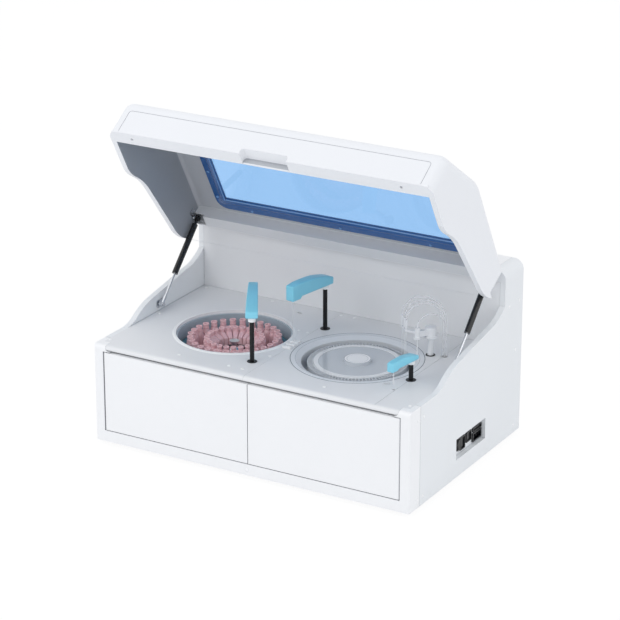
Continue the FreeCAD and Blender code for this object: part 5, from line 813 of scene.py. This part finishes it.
bottle_parts = ring_of([outer_bottle()], OUTER_BOTTLES[0], OUTER_BOTTLES[2])
bottle_parts += ring_of(inner_bottle(), INNER_BOTTLES[0], INNER_BOTTLES[2])
piece("reagent_bottle_set", bottle_parts, bottle_rose, "reagent_carousel",
      ("reagent_bottles",), 40)
piece("well_gasket", [lathe(GASKET, *WELL, 160)], rubber_black, "casing")


# Window frame and its screws

def framed(section):
    """A section carried round the window's outline, on the opened lid."""
    p, q = swept_ring(rounded_path(*FRAME_OUTLINE), raised(section, FRAME_UNDER), FRAME_WIDEN)
    return lid_opened(p), q


def frame_screw(x, y):
    """Low domed screw head with a socket, on the underside of the window frame."""
    p, q = lathe(raised(SCREW_SECTION, FRAME_UNDER), x, y, 20)
    return lid_opened(p), q


screws = [frame_screw(x, y) for x in SCREW_COLUMNS for y in SCREW_ROWS]
screws += [frame_screw(x, y) for x in END_SCREW_COLUMNS for y in END_SCREW_ROWS]
piece("window_bezel", [framed(FRAME_SECTION)], frame_blue, "lid", ("lid_window_frame",), 30)
piece("window_edge", [framed(EDGE_SECTION)], edge_blue, "lid", (), 30)
piece("window_frame_screws", screws, edge_blue, "lid")


# Camera, light and floor

def look():
    camera = bpy.data.cameras.new("photo_view")
    camera.lens = CAMERA_LENS
    camera.sensor_width = SENSOR
    camera.clip_end = CAMERA_REACH
    eye = bpy.data.objects.new("photo_view", camera)
    bpy.context.scene.collection.objects.link(eye)
    eye.location = [v * MM for v in CAMERA_AT]
    eye.rotation_euler = (math.radians(90 - CAMERA_ELEVATION), 0, math.radians(CAMERA_AZIMUTH))
    bpy.context.scene.camera = eye


def area_light(name, place, aim, size, power):
    lamp = bpy.data.lights.new(name, "AREA")
    lamp.shape = "RECTANGLE"
    lamp.size, lamp.size_y = size
    lamp.energy = power
    made = bpy.data.objects.new(name, lamp)
    bpy.context.scene.collection.objects.link(made)
    made.location = place
    made.rotation_euler = (Vector(aim) - Vector(place)).to_track_quat("-Z", "Y").to_euler()


def seen_white(tree, target, plain, white):
    """What a camera, mirror or glass sees is white; what lights the object is the plain shader."""
    path = tree.nodes.new("ShaderNodeLightPath")
    beyond = math_node(tree, "MAXIMUM", path.outputs["Is Glossy Ray"], path.outputs["Is Transmission Ray"])
    seen = math_node(tree, "MAXIMUM", path.outputs["Is Camera Ray"], beyond)
    mix = tree.nodes.new("ShaderNodeMixShader")
    wire(tree, seen, mix.inputs[0])
    wire(tree, plain, mix.inputs[1])
    wire(tree, white, mix.inputs[2])
    wire(tree, mix.outputs[0], target)


def sky():
    """Even pale light from all round, which shows as white."""
    world = bpy.data.worlds.new("pale_studio")
    bpy.context.scene.world = world
    world.use_nodes = True
    tree = world.node_tree
    soft = tree.nodes["Background"]
    soft.inputs["Color"].default_value = SKY
    soft.inputs["Strength"].default_value = SKY_STRENGTH
    white = node(tree, "ShaderNodeBackground", Color=WHITE)
    seen_white(tree, tree.nodes["World Output"].inputs["Surface"], soft.outputs[0], white.outputs[0])


def floor_material():
    """Plain pale grey that shows as white with a faint shadow."""
    material = bpy.data.materials.new("white_floor")
    material.use_nodes = True
    tree = material.node_tree
    plain = tree.nodes["Principled BSDF"]
    plain.inputs["Base Color"].default_value = FLOOR_GREY
    plain.inputs["Roughness"].default_value = FLOOR_ROUGH
    glow = node(tree, "ShaderNodeEmission", Color=WHITE, Strength=FLOOR_GLOW)
    faint = node(tree, "ShaderNodeBsdfDiffuse", Color=FLOOR_SHADOW)
    shaded = tree.nodes.new("ShaderNodeAddShader")
    wire(tree, glow.outputs[0], shaded.inputs[0])
    wire(tree, faint.outputs[0], shaded.inputs[1])
    seen_white(tree, tree.nodes["Material Output"].inputs["Surface"], plain.outputs[0], shaded.outputs[0])
    return material


def studio():
    bpy.context.scene.view_settings.view_transform = "Standard"
    sky()
    for lamp in LAMPS:
        area_light(*lamp)
    half = FLOOR_HALF
    mesh = bpy.data.meshes.new("floor")
    mesh.from_pydata([(-half, -half, 0), (half, -half, 0), (half, half, 0), (-half, half, 0)], [],
                     [(0, 1, 2, 3)])
    floor = bpy.data.objects.new("floor", mesh)
    bpy.context.scene.collection.objects.link(floor)
    mesh.materials.append(floor_material())


look()
studio()
